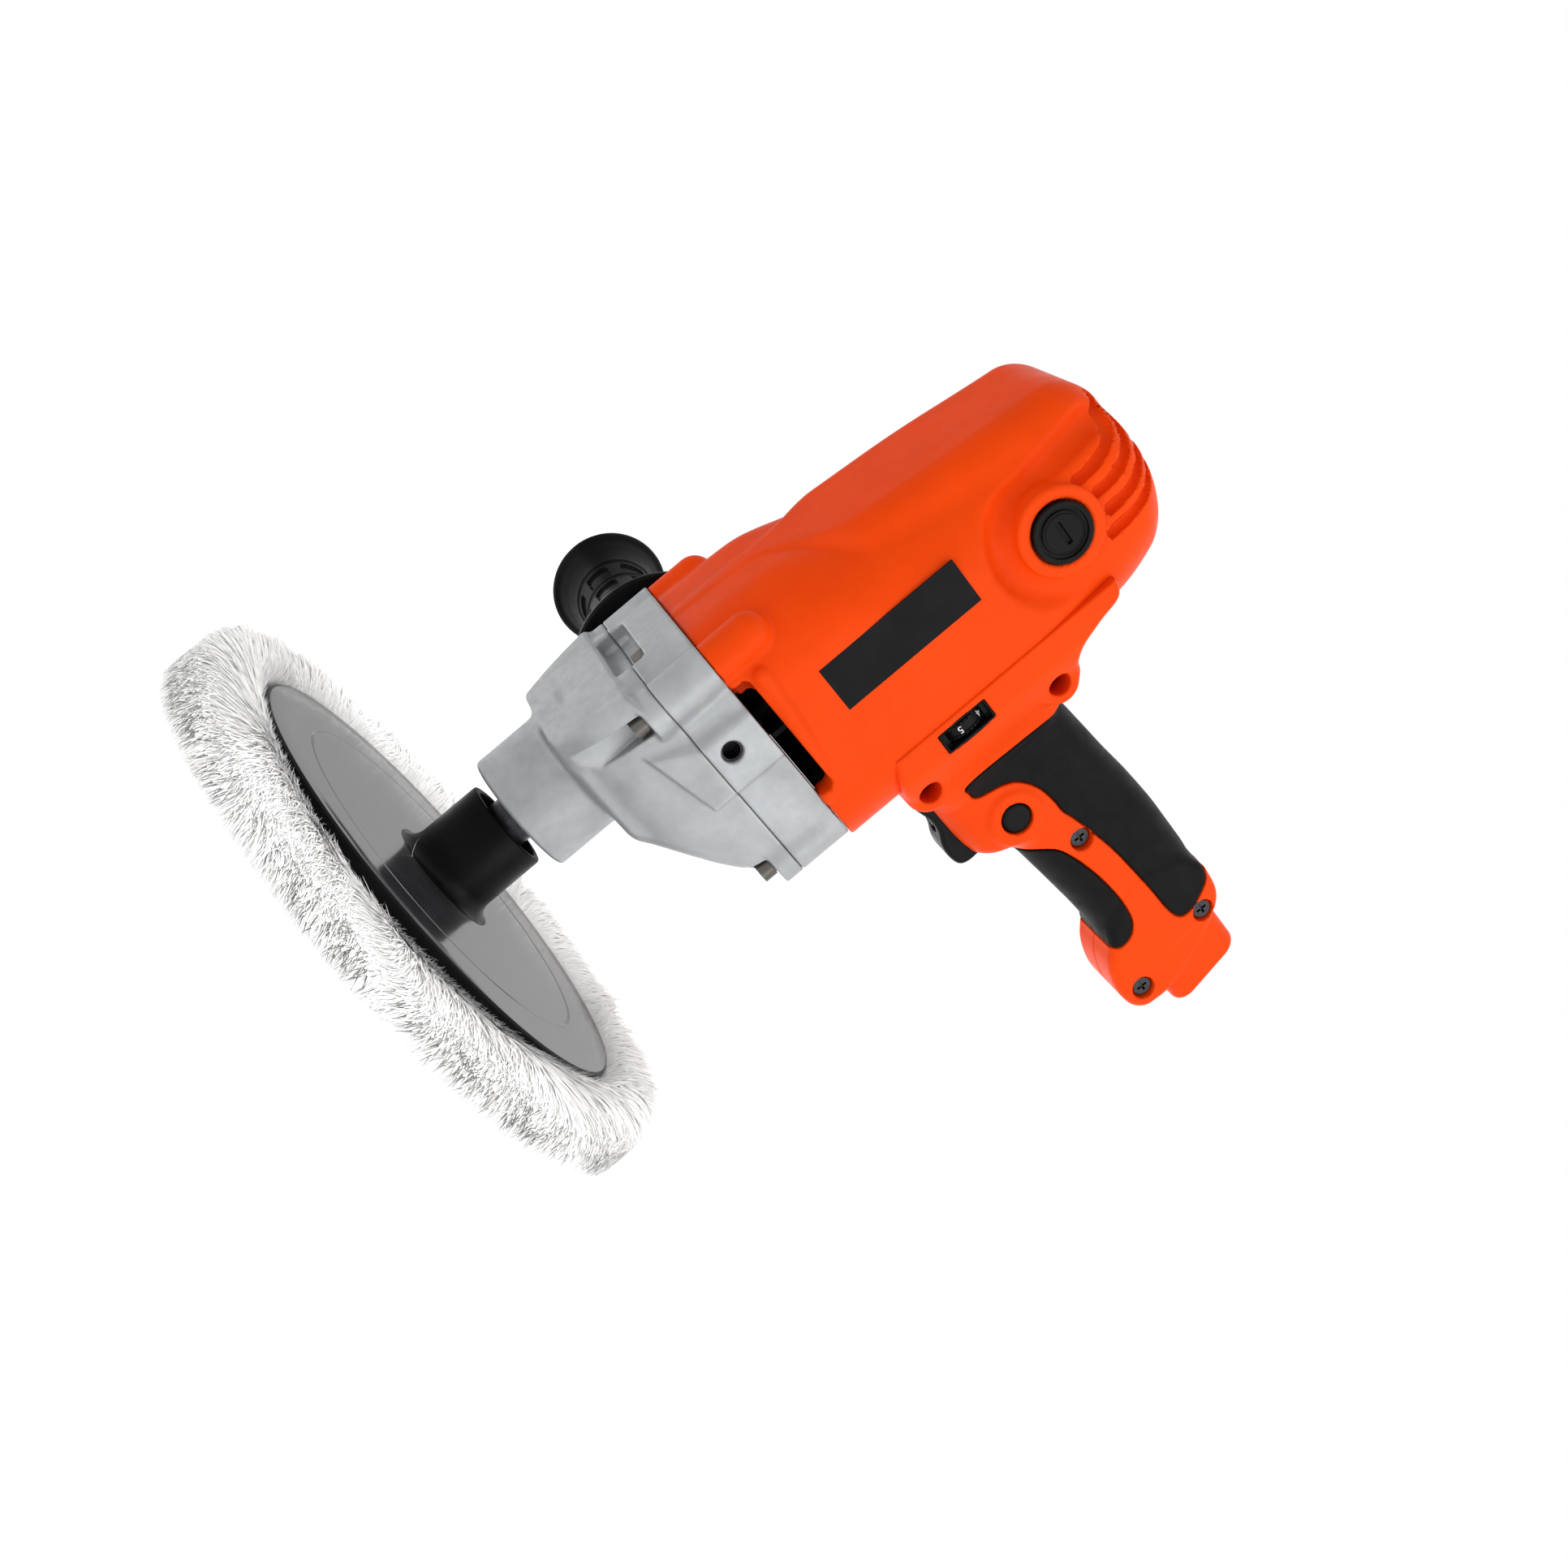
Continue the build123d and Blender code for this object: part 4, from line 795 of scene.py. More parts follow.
def make_gear_case():
    cell = 0.85
    moulding("gear_case_casting", case_front_field, (-26, -50, 57), (80, 50, 125), cell,
             "cast_aluminium", "gear_case_front")
    moulding("gear_case_flange", case_rear_field, (-26, -50, 123), (80, 50, 146), cell,
             "cast_aluminium", "gear_case_rear")
    head = lathe("top_case_screw", [(0, 0), (3.0, 0), (3.3, 0.4), (3.3, 4.6), (0, 4.6)], 40)
    socket = lathe("top_case_screw_socket", [(0, -0.15), (1.8, -0.15), (1.8, 0.3), (0, 0.3)], 6)
    head.location = socket.location = TOP_SCREW * MM
    # Painted shade: the casting's own thread sleeve inside the near side hole takes the near-black blackened
    # steel look, so the hole reads dark as if in shadow.
    bore = lathe("side_thread_painted_shade", [(0, 0), (3.95, 0), (3.95, 8.0), (3.2, 8.0), (3.2, 0.6), (0, 0.6)], 48)
    turn_to(bore, (0, -1, 0), (SIDE_AXIS[0], -37.8, SIDE_AXIS[2]))
    finish_piece(bore, TOOL, "cast_aluminium", look="dark_steel")
    finish_piece(head, TOOL, "steel", look="screw")
    finish_piece(socket, TOOL, "steel", look="gear")


# ---------------------------------------------------------------- handle

ROOT_SIDE = Outline((
    (52, 173.5), (58, 171.4), (66, 169), (76, 168.0), (84, 170), (90, 172.8), (96, 175), (101, 180),
    (101, 200),
    (98, 228), (93, 235.5), (89.5, 241), (84, 245.3), (77, 246.6), (71.5, 251), (67.5, 260), (64.5, 270),
    (58, 272.5), (52, 270), (49, 220),
))
ROOT_HALF = ((50, 46.9), (58, 46.9), (66, 46.4), (73, 43.3), (80, 38.0), (86, 32.2), (92, 26.6), (98, 22.3),
             (106, 19.8), (130, 18.5))
GRIP_LOW = ((80, 172.8), (90, 173.2), (104, 173.6), (118, 174.0), (127, 175.4), (130.5, 177.6), (134, 184.5),
            (139, 188.9), (152, 190.8), (167, 192.5), (185, 194.3), (200, 195.0), (222, 195.0))
GRIP_HIGH = ((80, 231), (97, 236.2), (115, 238.4), (129, 239.8), (147, 242.0), (167, 243.2), (185, 243.2),
             (196, 242.2), (222, 240))
GRIP_HALF = ((80, 24.0), (92, 21.5), (104, 19.7), (129, 18.5), (147, 17.9), (167, 17.5), (200, 17.2),
             (222, 16.8))
END_SIDE = Outline((
    (190, 199), (199, 193.5), (204.5, 189.6), (211, 187.0), (219, 185.6), (227, 186.6), (231.5, 190.5),
    (232.6, 196), (232.4, 203), (229, 214), (223, 226), (216.5, 236.5), (211, 241.2), (203, 242.8),
    (194, 242.2),
    (184, 234), (180, 215),
))
REAR_ZONE = Outline((
    (98.0, 233.0), (95.8, 209), (96.0, 189.0), (100.5, 187.7), (104.9, 189.2), (107.7, 199.2), (111.2, 204.9),
    (118.7, 209.4),
    (127.4, 211.2), (134.0, 211.5), (141.5, 213.7), (161.7, 218.0), (184.8, 220.2), (203.2, 221.5),
    (207.8, 226.8),
    (203.0, 238.4), (196.2, 242.8), (182, 246.5), (165, 247.0), (129.6, 244.0), (108, 240.0),
))
FRONT_ZONE = Outline((
    (137.0, 185.0), (138.9, 189.6), (142.2, 196.2), (146.2, 200.8), (152.0, 203.5), (161, 206), (172, 207.9),
    (183.5, 208.6),
    (192.5, 207.5), (197.3, 205.0), (200.1, 201.3), (200.2, 196.6), (196.4, 192.0), (190, 188.0),
    (172, 184.0), (150, 181.0),
))
HANDLE_BOSSES = ((79.5, 176.0), (79.5, 236.0))
GRIP_SCREWS = ((149.5, 210.8), (212.0, 232.0), (222.5, 194.5))
ZONE_DEPTH = 1.7


def handle_body(x, y, z):
    """Root, pistol grip and end block, before the soft zones and openings."""
    side = np.abs(y)
    root = meet(ROOT_SIDE(x, z), (side - curve(x, ROOT_HALF)) * 0.8, 2.6)
    low = curve(x, GRIP_LOW)
    high = curve(x, GRIP_HIGH)
    grip = rounded(z - (low + high) / 2, y, (high - low) / 2, curve(x, GRIP_HALF), 13.0) * 0.85
    grip = np.maximum(grip, np.maximum(80 - x, x - 214))
    end = meet(END_SIDE(x, z), side - 17.0, 4.2)
    boss = rounded(z - 219.3, y, 17.0, 15.4, 7.5)
    boss = meet(boss, np.maximum(205 - x, x + (z - 206) * 0.2 - 242.6), 2.6)
    body = join(root, grip, 4.0)
    body = join(body, end, 2.5)
    body = join(body, boss, 1.2)
    for bx, bz in HANDLE_BOSSES:
        body = join(body, pillar(x, z, side, bx, bz, 8.6, 10.0, 38.0, 2.5), 3.0)
    ring = pillar(x, z, -y, LOCK[0], LOCK[2], 10.8, 10.0, 19.9, 1.4)
    return join(body, ring, 3.0)


def zone_cut(body, zone, x, z, spread):
    """The part of the skin that a soft zone takes."""
    return meet(zone(x, z) - spread, -(body + ZONE_DEPTH), 0.3)


def handle_shell(x, y, z):
    side = np.abs(y)
    body = handle_body(x, y, z)
    shape = body
    for zone in (REAR_ZONE, FRONT_ZONE):
        shape = cut(shape, zone_cut(body, zone, x, z, 0.25), 0.6)
    barrel = meet(rounded(x - 20.0, y, 49.2, 41.3, 26.0), np.maximum(150 - z, z - 290), 0.5)
    shape = np.maximum(shape, -barrel)
    shape = meet(shape, np.maximum(57.3 - x, -shape - 50), 0.6)
    for sx, sz in GRIP_SCREWS:
        shape = cut(shape, pillar(x, z, -y, sx, sz, 4.7, 12.4, 40.0, 0.2), 0.5)
    for sx, sz in HANDLE_BOSSES:
        shape = cut(shape, pillar(x, z, -y, sx, sz, 4.5, 25.0, 60.0, 0.2), 0.9)
    shape = cut(shape, box(x, y, z, (92.5, -8.4, 150.0), (131.9, 8.4, 190.0), 1.2), 0.6)
    lock_hole = pillar(x, z, -y, LOCK[0], LOCK[2], LOCK_RADIUS + 0.4, 10.6, 30.0, 0.1)
    shape = cut(cut(shape, lock_hole, 0.5), dial_well(x, y, z), 0.5)
    gland = np.hypot(y, z - GLAND[2]) - 6.6
    return cut(shape, np.maximum(gland, 224.0 - x), 0.6)


def left_shell_field(x, y, z):
    return meet(handle_shell(x, y, z), y + 0.03, 0.45)


def right_shell_field(x, y, z):
    return meet(handle_shell(x, y, z), 0.03 - y, 0.45)


def grip_field(zone, hand):
    def field(x, y, z):
        body = handle_body(x, y, z)
        outer = meet(body + 0.02, zone(x, z) + 0.12, 0.9)
        shape = np.maximum(outer, -(body + ZONE_DEPTH))
        shape = np.maximum(shape, 95.5 - x)
        lock = pillar(x, z, -y, LOCK[0], LOCK[2], 12.4, 5.0, 40.0, 0.1)
        shape = np.maximum(shape, -lock)
        return np.maximum(shape, 0.08 - hand * y)
    return field


def make_handle():
    for where, field, low_y, high_y, side in (("near", left_shell_field, -49, 1, "left"),
                                              ("far", right_shell_field, -1, 49, "right")):
        moulding("handle_shell_" + where, field, (54, low_y, 164), (246, high_y, 276), 0.8,
                 "housing_orange", "handle_shell_" + side)
    for side, hand, low_y, high_y in (("left", -1, -26, 1), ("right", 1, -1, 26)):
        for part, zone, low, high in (("rear_", REAR_ZONE, (93, 185), (211, 246)),
                                      ("front_", FRONT_ZONE, (134, 180), (203, 211))):
            moulding("soft_grip_" + part + side, grip_field(zone, hand), (low[0], low_y, low[1]),
                     (high[0], high_y, high[1]), 0.75, "soft_grip", part + "grip_" + side)


# ---------------------------------------------------------------- lathe, controls

def lathe(name, profile, sides=96, wobble=None):
    """Turned solid about Z from (radius, height) points, closed on the axis."""
    angles = np.arange(sides) * 2 * math.pi / sides
    points = []
    rows = []
    for radius, height in profile:
        if radius < 1e-6:
            rows.append([len(points)] * sides)
            points.append((0.0, 0.0, height))
            continue
        rows.append(list(range(len(points), len(points) + sides)))
        for angle in angles:
            r = radius if wobble is None else radius + wobble(angle, radius, height)
            points.append((r * math.cos(angle), r * math.sin(angle), height))
    faces = []
    for below, above in zip(rows, rows[1:]):
        for k in range(sides):
            corner = [below[k], below[(k + 1) % sides], above[(k + 1) % sides], above[k]]
            corner = [c for i, c in enumerate(corner) if c != corner[i - 1]]
            faces.append(corner)
    mesh = bpy.data.meshes.new(name)
    mesh.from_pydata([(a * MM, b * MM, c * MM) for a, b, c in points], [], faces)
    mesh.validate()
    mesh.shade_smooth()
    mesh.set_sharp_from_angle(angle=math.radians(38))
    return placed(name, mesh)


def turn_to(obj, axis, place):
    """Points a lathe's Z along an axis and moves its foot to a place in millimetres."""
    obj.rotation_mode = "QUATERNION"
    obj.rotation_quaternion = Vector((0, 0, 1)).rotation_difference(Vector(axis))
    obj.location = Vector(place) * MM
    bpy.context.view_layer.update()


TRIGGER_SIDE = Outline((
    (93.4, 182), (93.3, 175), (93.6, 169.8), (96.0, 168.1), (101, 169.3), (107, 170.7), (113, 170.3),
    (118.5, 168.2), (124, 167.6), (129.2, 168.9), (131.0, 172.5), (130.8, 178), (130.2, 182), (112, 182.0),
), margin=8.0, cell=0.3)


def trigger_field(x, y, z):
    body = meet(TRIGGER_SIDE(x, z), np.abs(y) - 7.95, 1.8)
    body = np.maximum(body, z - 181.9)
    body = cut(body, rod(x, np.abs(y), z, (98.0, 12.0, 177.4), (126.0, 12.0, 177.4), 4.6), 0.5)
    hollow = box(x, y, z, (98, -6, 174), (125, 6, 190), 0.6)
    well = pillar(x, y, z, *SPRING[:2], SPRING_RADIUS + 0.7, SPRING_FOOT - 6.4, 176.0, 0.2)
    pin = pillar(x, y, z, *SPRING[:2], SPRING_RADIUS - 1.9, 160.0, 178.0, 0.4)
    return np.maximum(body, -np.minimum(hollow, np.maximum(well, -pin)))


def make_trigger():
    obj = field_piece("trigger_moulding", trigger_field, (92, -9, 166), (132.5, 9, 183), 0.45)
    finish_piece(obj, "trigger", "black_plastic", "trigger")


def make_lock_button():
    depth = 2 * LOCK_HALF_DEPTH
    profile = [(0, 0.15), (3.2, 0.08), (4.9, 0.0), (5.6, 0.3), (LOCK_RADIUS, 1.0), (LOCK_RADIUS, 3.4),
               (3.0, 3.5), (3.0, depth), (0, depth)]
    obj = lathe("lock_button_cap", profile, 72)
    turn_to(obj, (0, 1, 0), LOCK - (0, LOCK_HALF_DEPTH, 0))
    finish_piece(obj, "lock_button", "black_plastic", "lock_button")


def numeral(name, text, height, place, rotation):
    """One raised numeral of the speed dial, as a mesh."""
    data = bpy.data.curves.new(name, "FONT")
    data.body = text
    data.size = height * 1.35 * MM
    data.extrude = 0.06 * MM
    data.align_x = "CENTER"
    data.align_y = "CENTER"
    source = placed(name + "_source", data)
    bpy.context.view_layer.update()
    mesh = bpy.data.meshes.new_from_object(source.evaluated_get(bpy.context.evaluated_depsgraph_get()))
    bpy.data.objects.remove(source)
    obj = placed(name, mesh)
    obj.matrix_world = Matrix.Translation(Vector(place) * MM) @ rotation
    finish_piece(obj, "speed_dial", "black_plastic", look="ink")


def make_dial():
    """Thumbwheel with a notched rim and the speeds 1 to 6 round it."""
    half = DIAL_HALF
    teeth = 36

    def knurl(angle, radius, height):
        outer = radius > DIAL_RADIUS - 0.9
        edge = abs(height) > half - 1.5
        return -0.45 * max(0.0, math.cos(angle * teeth)) ** 2 if outer and edge else 0.0

    bevel = ((0.8, half), (0.05, half - 0.5), (0.05, half - 1.3), (0.5, half - 1.5))
    rim = [(DIAL_RADIUS - sunk, -height) for sunk, height in bevel]
    rim += [(DIAL_RADIUS - sunk, height) for sunk, height in bevel[::-1]]
    profile = [(0, -half), *rim, (0, half)]
    obj = lathe("speed_thumbwheel", profile, 4 * teeth, knurl)
    turn_to(obj, (1, 0, 0), DIAL)
    finish_piece(obj, "speed_dial", "black_plastic", "speed_dial")
    for k, text in enumerate("123456"):
        angle = math.radians(-13 + 50 * (4 - k))
        reach = DIAL_RADIUS - 0.45
        place = (DIAL[0], DIAL[1] - reach * math.cos(angle), DIAL[2] + reach * math.sin(angle))
        spin = Matrix.Rotation(math.radians(90), 4, "X") @ Matrix.Rotation(math.radians(-90), 4, "Z")
        numeral("speed_numeral_" + text, text, 3.0, place, Matrix.Rotation(-angle, 4, "X") @ spin)


def bezel_field(x, y, z):
    """Black carrier that lines the dial window and the well round the wheel."""
    frame_block = box(x, y, z, (60.1, -46.2, 189.5), (68.9, -33.0, 210.5), 0.5)
    well = pillar(y, z, x, DIAL[1], DIAL[2], DIAL_RADIUS + 1.5, 59.9, 69.1, 0.2)
    opening = box(x, y, z, (61.0, -60.0, 190.4), (68.0, -43.4, 209.6), 0.4)
    wheel = pillar(y, z, x, DIAL[1], DIAL[2], DIAL_RADIUS + 0.6, 61.1, 67.9, 0.1)
    return np.maximum(np.minimum(frame_block, np.maximum(well, -46.2 - y)), -np.minimum(opening, wheel))


def make_dial_bezel():
    moulding("speed_dial_bezel", bezel_field, (59.3, -46.8, 186.5), (69.7, -21.0, 213.5), 0.4,
             "black_plastic")


def cap_field(x, y, z):
    """Brush cap: rim, sunken ring, raised middle disc and a coin slot. Its axis is Z here."""
    r = np.hypot(x, y)
    body = meet(r - BRUSH_CAP_RADIUS + 0.05, np.abs(z + 1.6) - 1.6, 0.6)
    body = cut(body, meet(np.abs(r - 8.6) - 0.55, -0.9 - z, 0.1), 0.25)
    body = cut(body, meet(r - 7.6, -0.35 - z, 0.1), 0.3)
    disc = meet(r - 6.9, z + 0.15, 0.3)
    body = np.minimum(body, np.maximum(disc, -2.0 - z))
    slot = box(x, y, z, (-4.6, -0.95, -1.5), (4.6, 0.95, 3.0), 0.4)
    return cut(body, slot, 0.25)


def make_brush_caps():
    for name, hand in (("left", -1), ("right", 1)):
        obj = field_piece("brush_cap_moulding_" + name, cap_field, (-12, -12, -3.6), (12, 12, 0.4), 0.28)
        turn_to(obj, (0, hand, 0), (MOTOR_X, hand * 49.4, BRUSH_Z))
        finish_piece(obj, TOOL, "black_plastic", "brush_cap_" + name)


# ---------------------------------------------------------------- side handle

GRIP_RADIUS = ((49, 12), (57, 19.5), (60, 18.0), (66, 15.9), (80, 16.3), (100, 17.0), (120, 16.6),
               (140, 15.6),
               (152, 16.8), (158, 19.0), (163, 22.0), (168, 24.0))


def side_handle_field(x, y, z):
    """Grip about Y with a guard disc, ring ribs, recessed panels and a flared knob."""
    r = np.hypot(x - SIDE_AXIS[0], z - SIDE_AXIS[2])
    stem = meet((r - curve(y, GRIP_RADIUS)) * 0.8, np.maximum(50.2 - y, y - 166), 0.5)
    dome = np.sqrt(r ** 2 + (y - 139.0) ** 2) - 38.9
    knob = meet(meet(r - 24.9, 163.8 - y, 1.8), dome, 3.0)
    slope = (np.abs(y - (54.6 + (36.3 - r) * 0.03)) - 1.6 - (36.3 - r) * 0.05)
    guard = meet(r - 36.4, slope, 1.2)
    body = join(stem, knob, 2.0)
    body = join(body, guard, 2.5)
    angle = np.arctan2(z - SIDE_AXIS[2], x - SIDE_AXIS[0])
    sixth = math.pi / 3
    local = (angle + sixth / 2) % sixth - sixth / 2
    across = np.abs(local) * r
    for low, high in ((70.0, 88.0), (95.0, 126.0), (133.0, 147.0)):
        panel = meet(across - 5.3, np.abs(y - (low + high) / 2) - (high - low) / 2, 1.0)
        body = cut(body, np.maximum(panel, curve(y, GRIP_RADIUS) - 1.3 - r), 0.4)
    for ring in (64.5, 91.5, 129.5, 150.5):
        bead = np.hypot(r - curve(np.full(np.shape(r), ring), GRIP_RADIUS) + 0.2, y - ring) - 1.1
        body = join(body, bead, 0.7)
    return body


def make_side_handle():
    moulding("side_handle_moulding", side_handle_field, (-24, 49, 94.5), (51, 179, 169.5), 0.85,
             "black_plastic", "side_handle_grip")


# ---------------------------------------------------------------- plate, foam and wool

def make_plate():
    """Backing plate: a glossy disc with a turned groove, a black rim, and the black hub on top."""
    foot, top = PLATE_FOOT, PLATE_FACE
    disc = [(20, foot), (88.6, foot), (89.6, foot + 0.4), (90.0, foot + 1.2)]
    disc += [(radius, top - down) for radius, down in (
        (90.0, 1.3), (89.6, 0.5), (88.6, 0), (80, 0.15), (68.9, 0.3), (68.6, 0.55), (68.2, 0.7), (67.8, 0.55),
        (67.5, 0.3), (55, 0.3), (40, 0.2), (20, 0.2))]
    disc.append((20, foot))
    obj = lathe("backing_plate_disc", disc, 192)
    finish_piece(obj, "spindle", "plate_plastic", "backing_plate")
    low, high = foot - 0.05, top - 0.2
    rim = [(88.2, low), (90.1, low), (90.1, top - 0.9), (89.4, high), (88.2, high), (88.2, low)]
    finish_piece(lathe("backing_plate_rim", rim, 192), "spindle", "plate_plastic", look="black")
    hub = [(0, foot + 0.2), (22.4, foot + 0.2), (22.4, top - 0.15)]
    for angle in np.linspace(0, math.pi / 2, 13):
        hub.append((17.5 + 4.9 * (1 - math.sin(angle)), top - 0.1 + 6.0 * (1 - math.cos(angle))))
    hub += [(radius, HUB_TOP - down) for radius, down in (
        (17.5, 0.8), (17.2, 0.2), (16.6, 0), (15.2, 0), (14.6, 0.4), (14.5, 1.0), (14.5, 4.0), (11.0, 4.0))]
    hub += [(11.0, foot + 4.0), (0, foot + 4.0)]
    finish_piece(lathe("backing_plate_hub", hub, 128), "spindle", "plate_plastic", look="black")


def make_foam():
    """Foam layer whose ragged rim shows between the plate and the wool."""
    bottom, top = (corner[2] for corner in span("foam_layer"))
    phases = np.random.default_rng(11).uniform(0, 2 * math.pi, 24)

    def ragged(angle, radius, height):
        if radius < 80:
            return 0.0
        return sum(0.16 * math.sin((7 + 5 * k) * angle + phases[k] + height) for k in range(24))

    profile = [(0, bottom), (86, bottom), (88.2, bottom + 0.6), (88.9, bottom + 2.0), (88.6, top - 0.6),
               (87.5, top), (0, top)]
    obj = lathe("foam_disc", profile, 256, ragged)
    finish_piece(obj, "spindle", "foam", "foam_layer")


WOOL_SECTION = np.array((
    (0.0, 2.6), (60.0, 2.6), (95.0, 2.8), (105.0, 3.6), (110.5, 6.4), (113.3, 11.0), (113.4, 16.0),
    (111.0, 21.0),
    (106.5, 25.0), (100.5, 26.6), (95.5, 25.2), (92.4, 21.4), (91.2, 15.5), (91.2, 12.2), (0.0, 12.2),
))
WOOL_OUTLINE = WOOL_SECTION[:13]
WOOL_STEPS = np.diff(WOOL_OUTLINE, axis=0)
WOOL_LENGTHS = np.hypot(*WOOL_STEPS.T)
WOOL_ENDS = np.concatenate(([0], np.cumsum(WOOL_LENGTHS)))
WOOL_RIM = WOOL_ENDS[3]
# Groups of locks: name, first and last distance along the outline, count, reach and lift.
WOOL_GROUPS = (
    ("face", 0.0, WOOL_RIM, 11800, 12.0, 0.06), ("side", WOOL_RIM, WOOL_ENDS[7], 11800, 17.0, 0.06),
    ("shoulder", WOOL_ENDS[5], WOOL_ENDS[9], 11800, 17.0, 0.09),
    ("crest", WOOL_ENDS[7], WOOL_ENDS[10], 11800, 14.0, 0.13),
    ("lip", WOOL_ENDS[9], WOOL_LENGTHS.sum() - 1.0, 7000, 7.5, 0.2),
)


def make_wool_core():
    """Skin and dense pile under the locks."""
    phases = np.random.default_rng(5).uniform(0, 2 * math.pi, 12)

    def lumps(angle, radius, height):
        if radius < 94 or height > 24:
            return 0.0
        return 0.35 * sum(math.sin((3 + 2 * k) * angle + phases[k]) / (1 + 0.5 * k) for k in range(6))

    obj = lathe("wool_pile_core", [tuple(p) for p in WOOL_SECTION], 220, lumps)
    for vertex in obj.data.vertices:
        x, y, z = vertex.co / MM
        vertex.co.z = float(near_drop(x, y, z)) * MM
    finish_piece(obj, "spindle", "wool", "wool_pad")
    return obj


def section_frame(distance):
    """Points, outward normals and running directions on the wool's outline."""
    i = np.clip(np.searchsorted(WOOL_ENDS, distance) - 1, 0, len(WOOL_STEPS) - 1)
    s = (distance - WOOL_ENDS[i]) / WOOL_LENGTHS[i]
    place = WOOL_OUTLINE[i] + s[:, None] * WOOL_STEPS[i]
    directions = WOOL_STEPS / WOOL_LENGTHS[:, None]
    middles = (WOOL_ENDS[:-1] + WOOL_ENDS[1:]) / 2
    run = np.stack([np.interp(distance, middles, directions[:, k]) for k in (0, 1)], 1)
    run /= np.linalg.norm(run, axis=1, keepdims=True)
    return place, np.stack((run[:, 1], -run[:, 0]), 1), run


def near_drop(x, y, z):
    """The pile is pressed lower on the side of the working arm, where the plate's rim shows."""
    facing = np.clip((-x * 0.37 - y * 0.93) / np.maximum(np.hypot(x, y), 1.0), 0, 1)
    return z * (1 - 0.29 * facing ** 2 * np.clip((z - 8.0) / 14.0, 0, 1))


def lock_mesh(name, root, along, out, length, width, bend, sway):
    """Closed tapering three-sided locks. along and out are unit vectors at the root."""
    across = np.cross(along, out)
    length, width, bend, sway = (v[:, None] for v in (length, width, bend, sway))
    corners = []
    for s, taper in ((0.0, 1.0), (0.34, 0.92), (0.70, 0.6)):
        middle = root + along * (length * s) + out * (bend * length * (s - 0.55 * s * s))
        middle = middle + across * (sway * length * s * s)
        for turn in (0, 2 * math.pi / 3, 4 * math.pi / 3):
            offset = across * math.cos(turn) + out * math.sin(turn) * 0.6
            corners.append(middle + offset * (width * taper * 0.5))
    tip = root + along * length + out * (bend * length * 0.42) + across * (sway * length)
    points = np.stack(corners + [tip], 1).reshape(-1, 3)
    faces = [(0, 2, 1)]
    for ring in (0, 3):
        for k in range(3):
            n = (k + 1) % 3
            faces += [(ring + k, ring + n, ring + 3 + n), (ring + k, ring + 3 + n, ring + 3 + k)]
    faces += [(6, 7, 9), (7, 8, 9), (8, 6, 9)]
    outward = np.array(faces)[:, ::-1]
    index = (np.arange(len(root))[:, None, None] * 10 + outward).reshape(-1, 3)
    points[:, 2] = np.maximum(near_drop(*points.T), 0.05)
    reach = np.hypot(points[:, 0], points[:, 1])
    points[:, :2] *= np.minimum(1, (PAD_RADIUS - 0.1) / np.maximum(reach, 1e-6))[:, None]
    soft = np.repeat(out, 10, axis=0) * 3.0
    soft += (points - np.repeat(root + along * (length * 0.4), 10, axis=0)) / np.repeat(length, 10, axis=0)
    soft /= np.linalg.norm(soft, axis=1, keepdims=True)
    return mesh_object(name, points, index, soft)


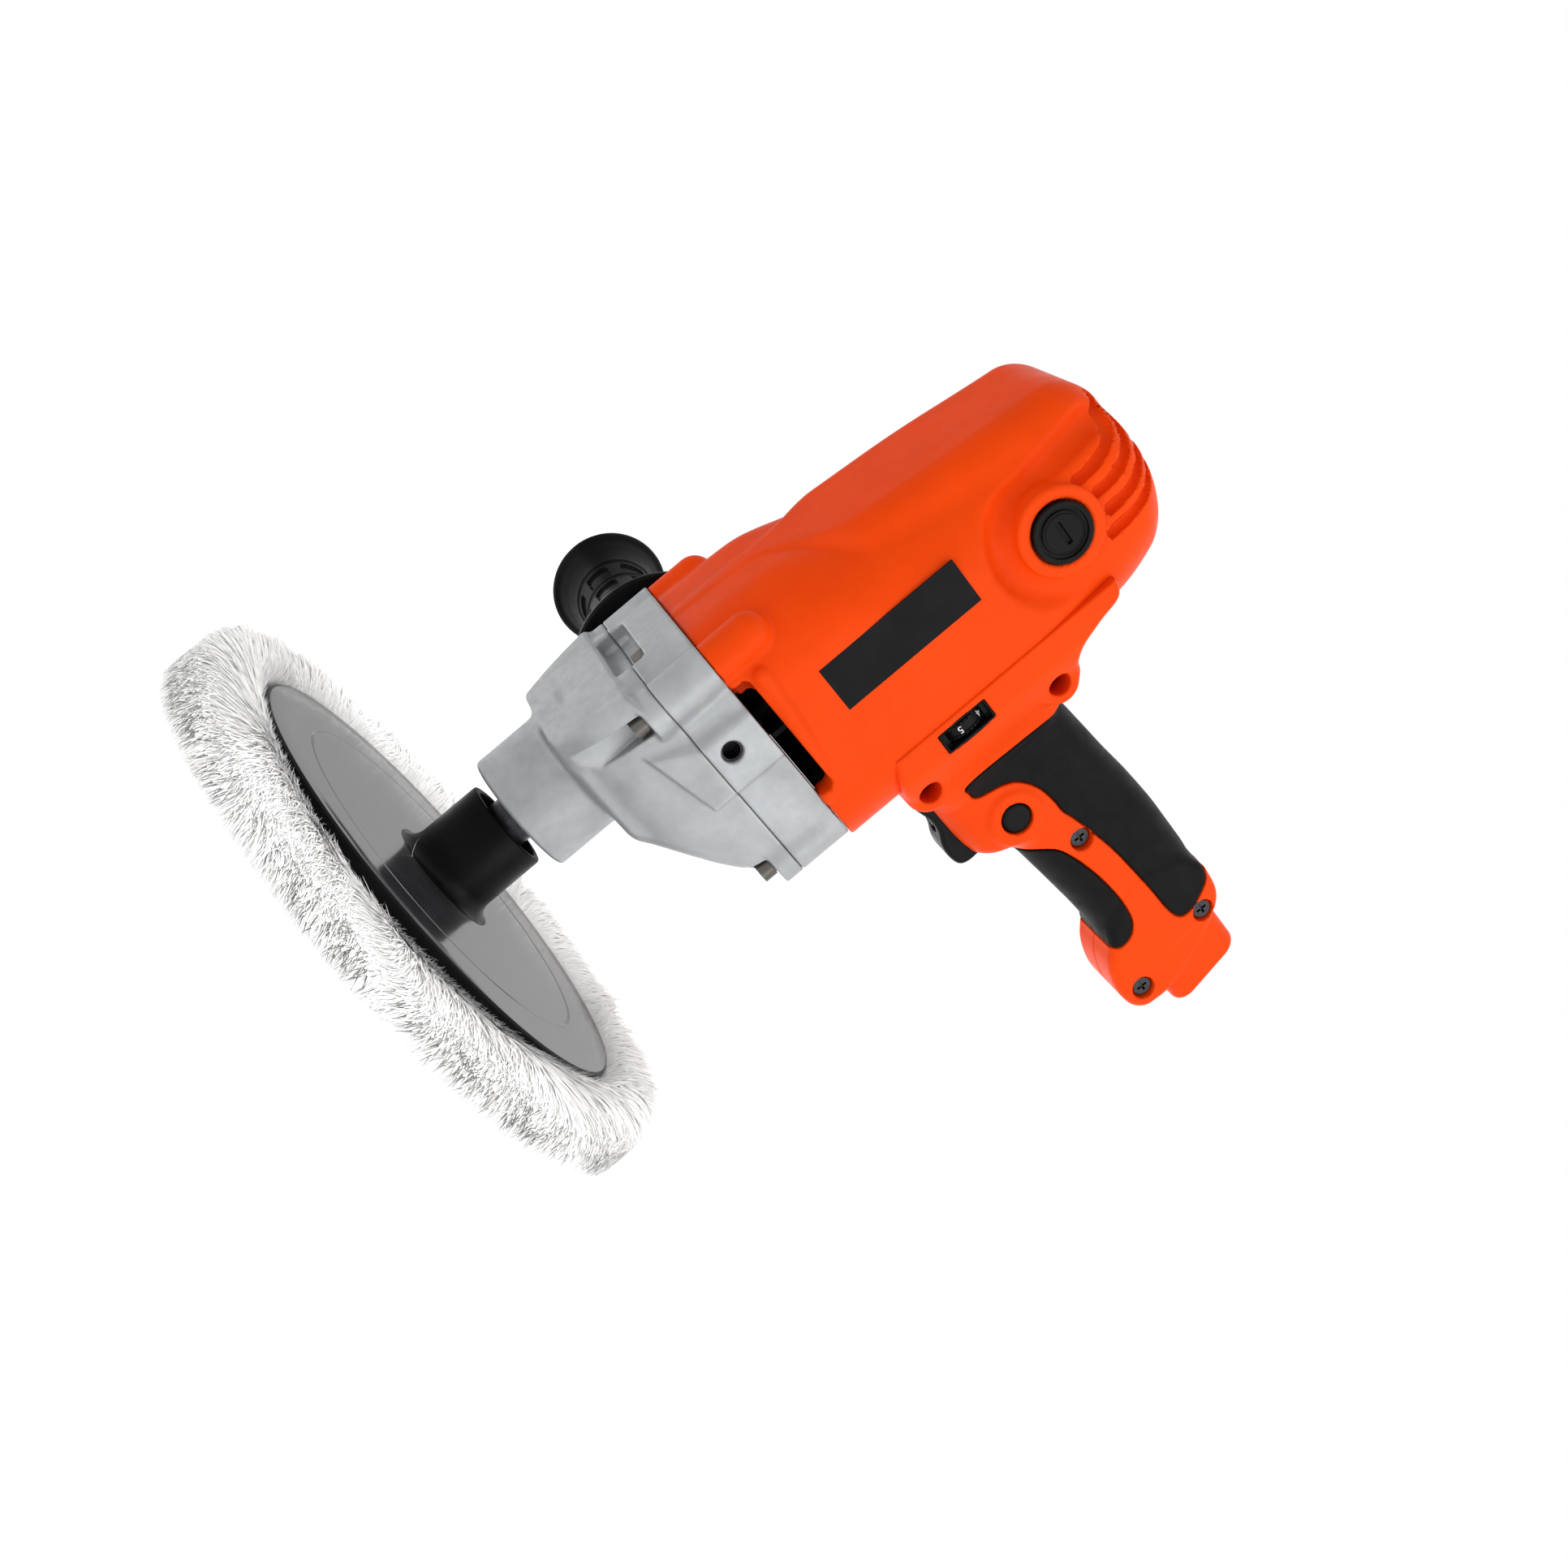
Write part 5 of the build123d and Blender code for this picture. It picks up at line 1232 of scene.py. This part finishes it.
def make_wool():
    """Combed lambswool: overlapping locks that lie round the rolled rim and over the working face."""
    core = make_wool_core()
    rng = np.random.default_rng(23)
    phases = rng.uniform(0, 2 * math.pi, 12)
    for name, start, end, count, reach, lift in WOOL_GROUPS:
        on_face = name == "face"
        if on_face:
            distance = WOOL_RIM * np.sqrt(rng.uniform(0.0, 1.0, count))
        else:
            distance = rng.uniform(start, end, count)
        angle = rng.uniform(0, 2 * math.pi, count)
        cosine, sine = np.cos(angle), np.sin(angle)
        root, out, down = (np.stack((v[:, 0] * cosine, v[:, 0] * sine, v[:, 1]), 1)
                           for v in section_frame(distance))
        round_way = np.stack((-sine, cosine, np.zeros(count)), 1)
        wave = sum(np.sin((5 + 4 * k) * angle + phases[k] + distance * 0.07 * (k + 1)) / (1 + 0.4 * k)
                   for k in range(5))
        lean = 0.42 * wave + rng.normal(0, 0.22, count) + (0.8 if on_face else 0.0)
        along = down * (1.0 if on_face else -1.0) * np.cos(lean)[:, None] + round_way * np.sin(lean)[:, None]
        along /= np.linalg.norm(along, axis=1, keepdims=True)
        length = reach * rng.uniform(0.65, 1.25, count)
        width = rng.uniform(0.4, 0.9, count)
        bend = lift * rng.uniform(0.2, 1.1, count)
        sway = rng.normal(0, 0.12, count)
        obj = lock_mesh("wool_locks_" + name, root, along, out, length, width, bend, sway)
        finish_piece(obj, "spindle", "wool", look="wool")


def make_stray_fibres():
    """Loose fibres that lie over the plate and the foot of the hub on the near side."""
    rng = np.random.default_rng(8)
    count = 300
    foot, bend = 38.5, 21
    angle = rng.normal(math.radians(248), 0.26, count)
    radius = rng.uniform(24, 90, count)
    flare = bend - np.sqrt(np.maximum(bend ** 2 - (foot - radius) ** 2, 0))
    height = PLATE_FACE + 0.3 + np.where(radius < foot, flare, 0)
    root = np.stack((radius * np.cos(angle), radius * np.sin(angle), height), 1)
    heading = rng.uniform(0, 2 * math.pi, count)
    along = np.stack((np.cos(heading), np.sin(heading), np.full(count, 0.05)), 1)
    length = rng.uniform(5, 13, count)
    reach = np.hypot(*(root[:, :2] + along[:, :2] * length[:, None]).T)
    keep = (reach > 26) & (reach < 90)
    root, along, length = root[keep], along[keep], length[keep]
    count = len(root)
    out = np.tile((0.0, 0.0, 1.0), (count, 1))
    bends = rng.uniform(0.1, 0.5, count)
    sways = rng.normal(0, 0.3, count)
    obj = lock_mesh("stray_wool_fibres", root, along, out, length, np.full(count, 0.16), bends, sways)
    finish_piece(obj, "spindle", "wool", look="wool")


make_camera()
make_studio()
dress_frame()
make_housing()
make_gear_case()
make_handle()
make_trigger()
make_lock_button()
make_dial()
make_dial_bezel()
make_brush_caps()
make_side_handle()
make_plate()
make_foam()
make_wool()
make_stray_fibres()
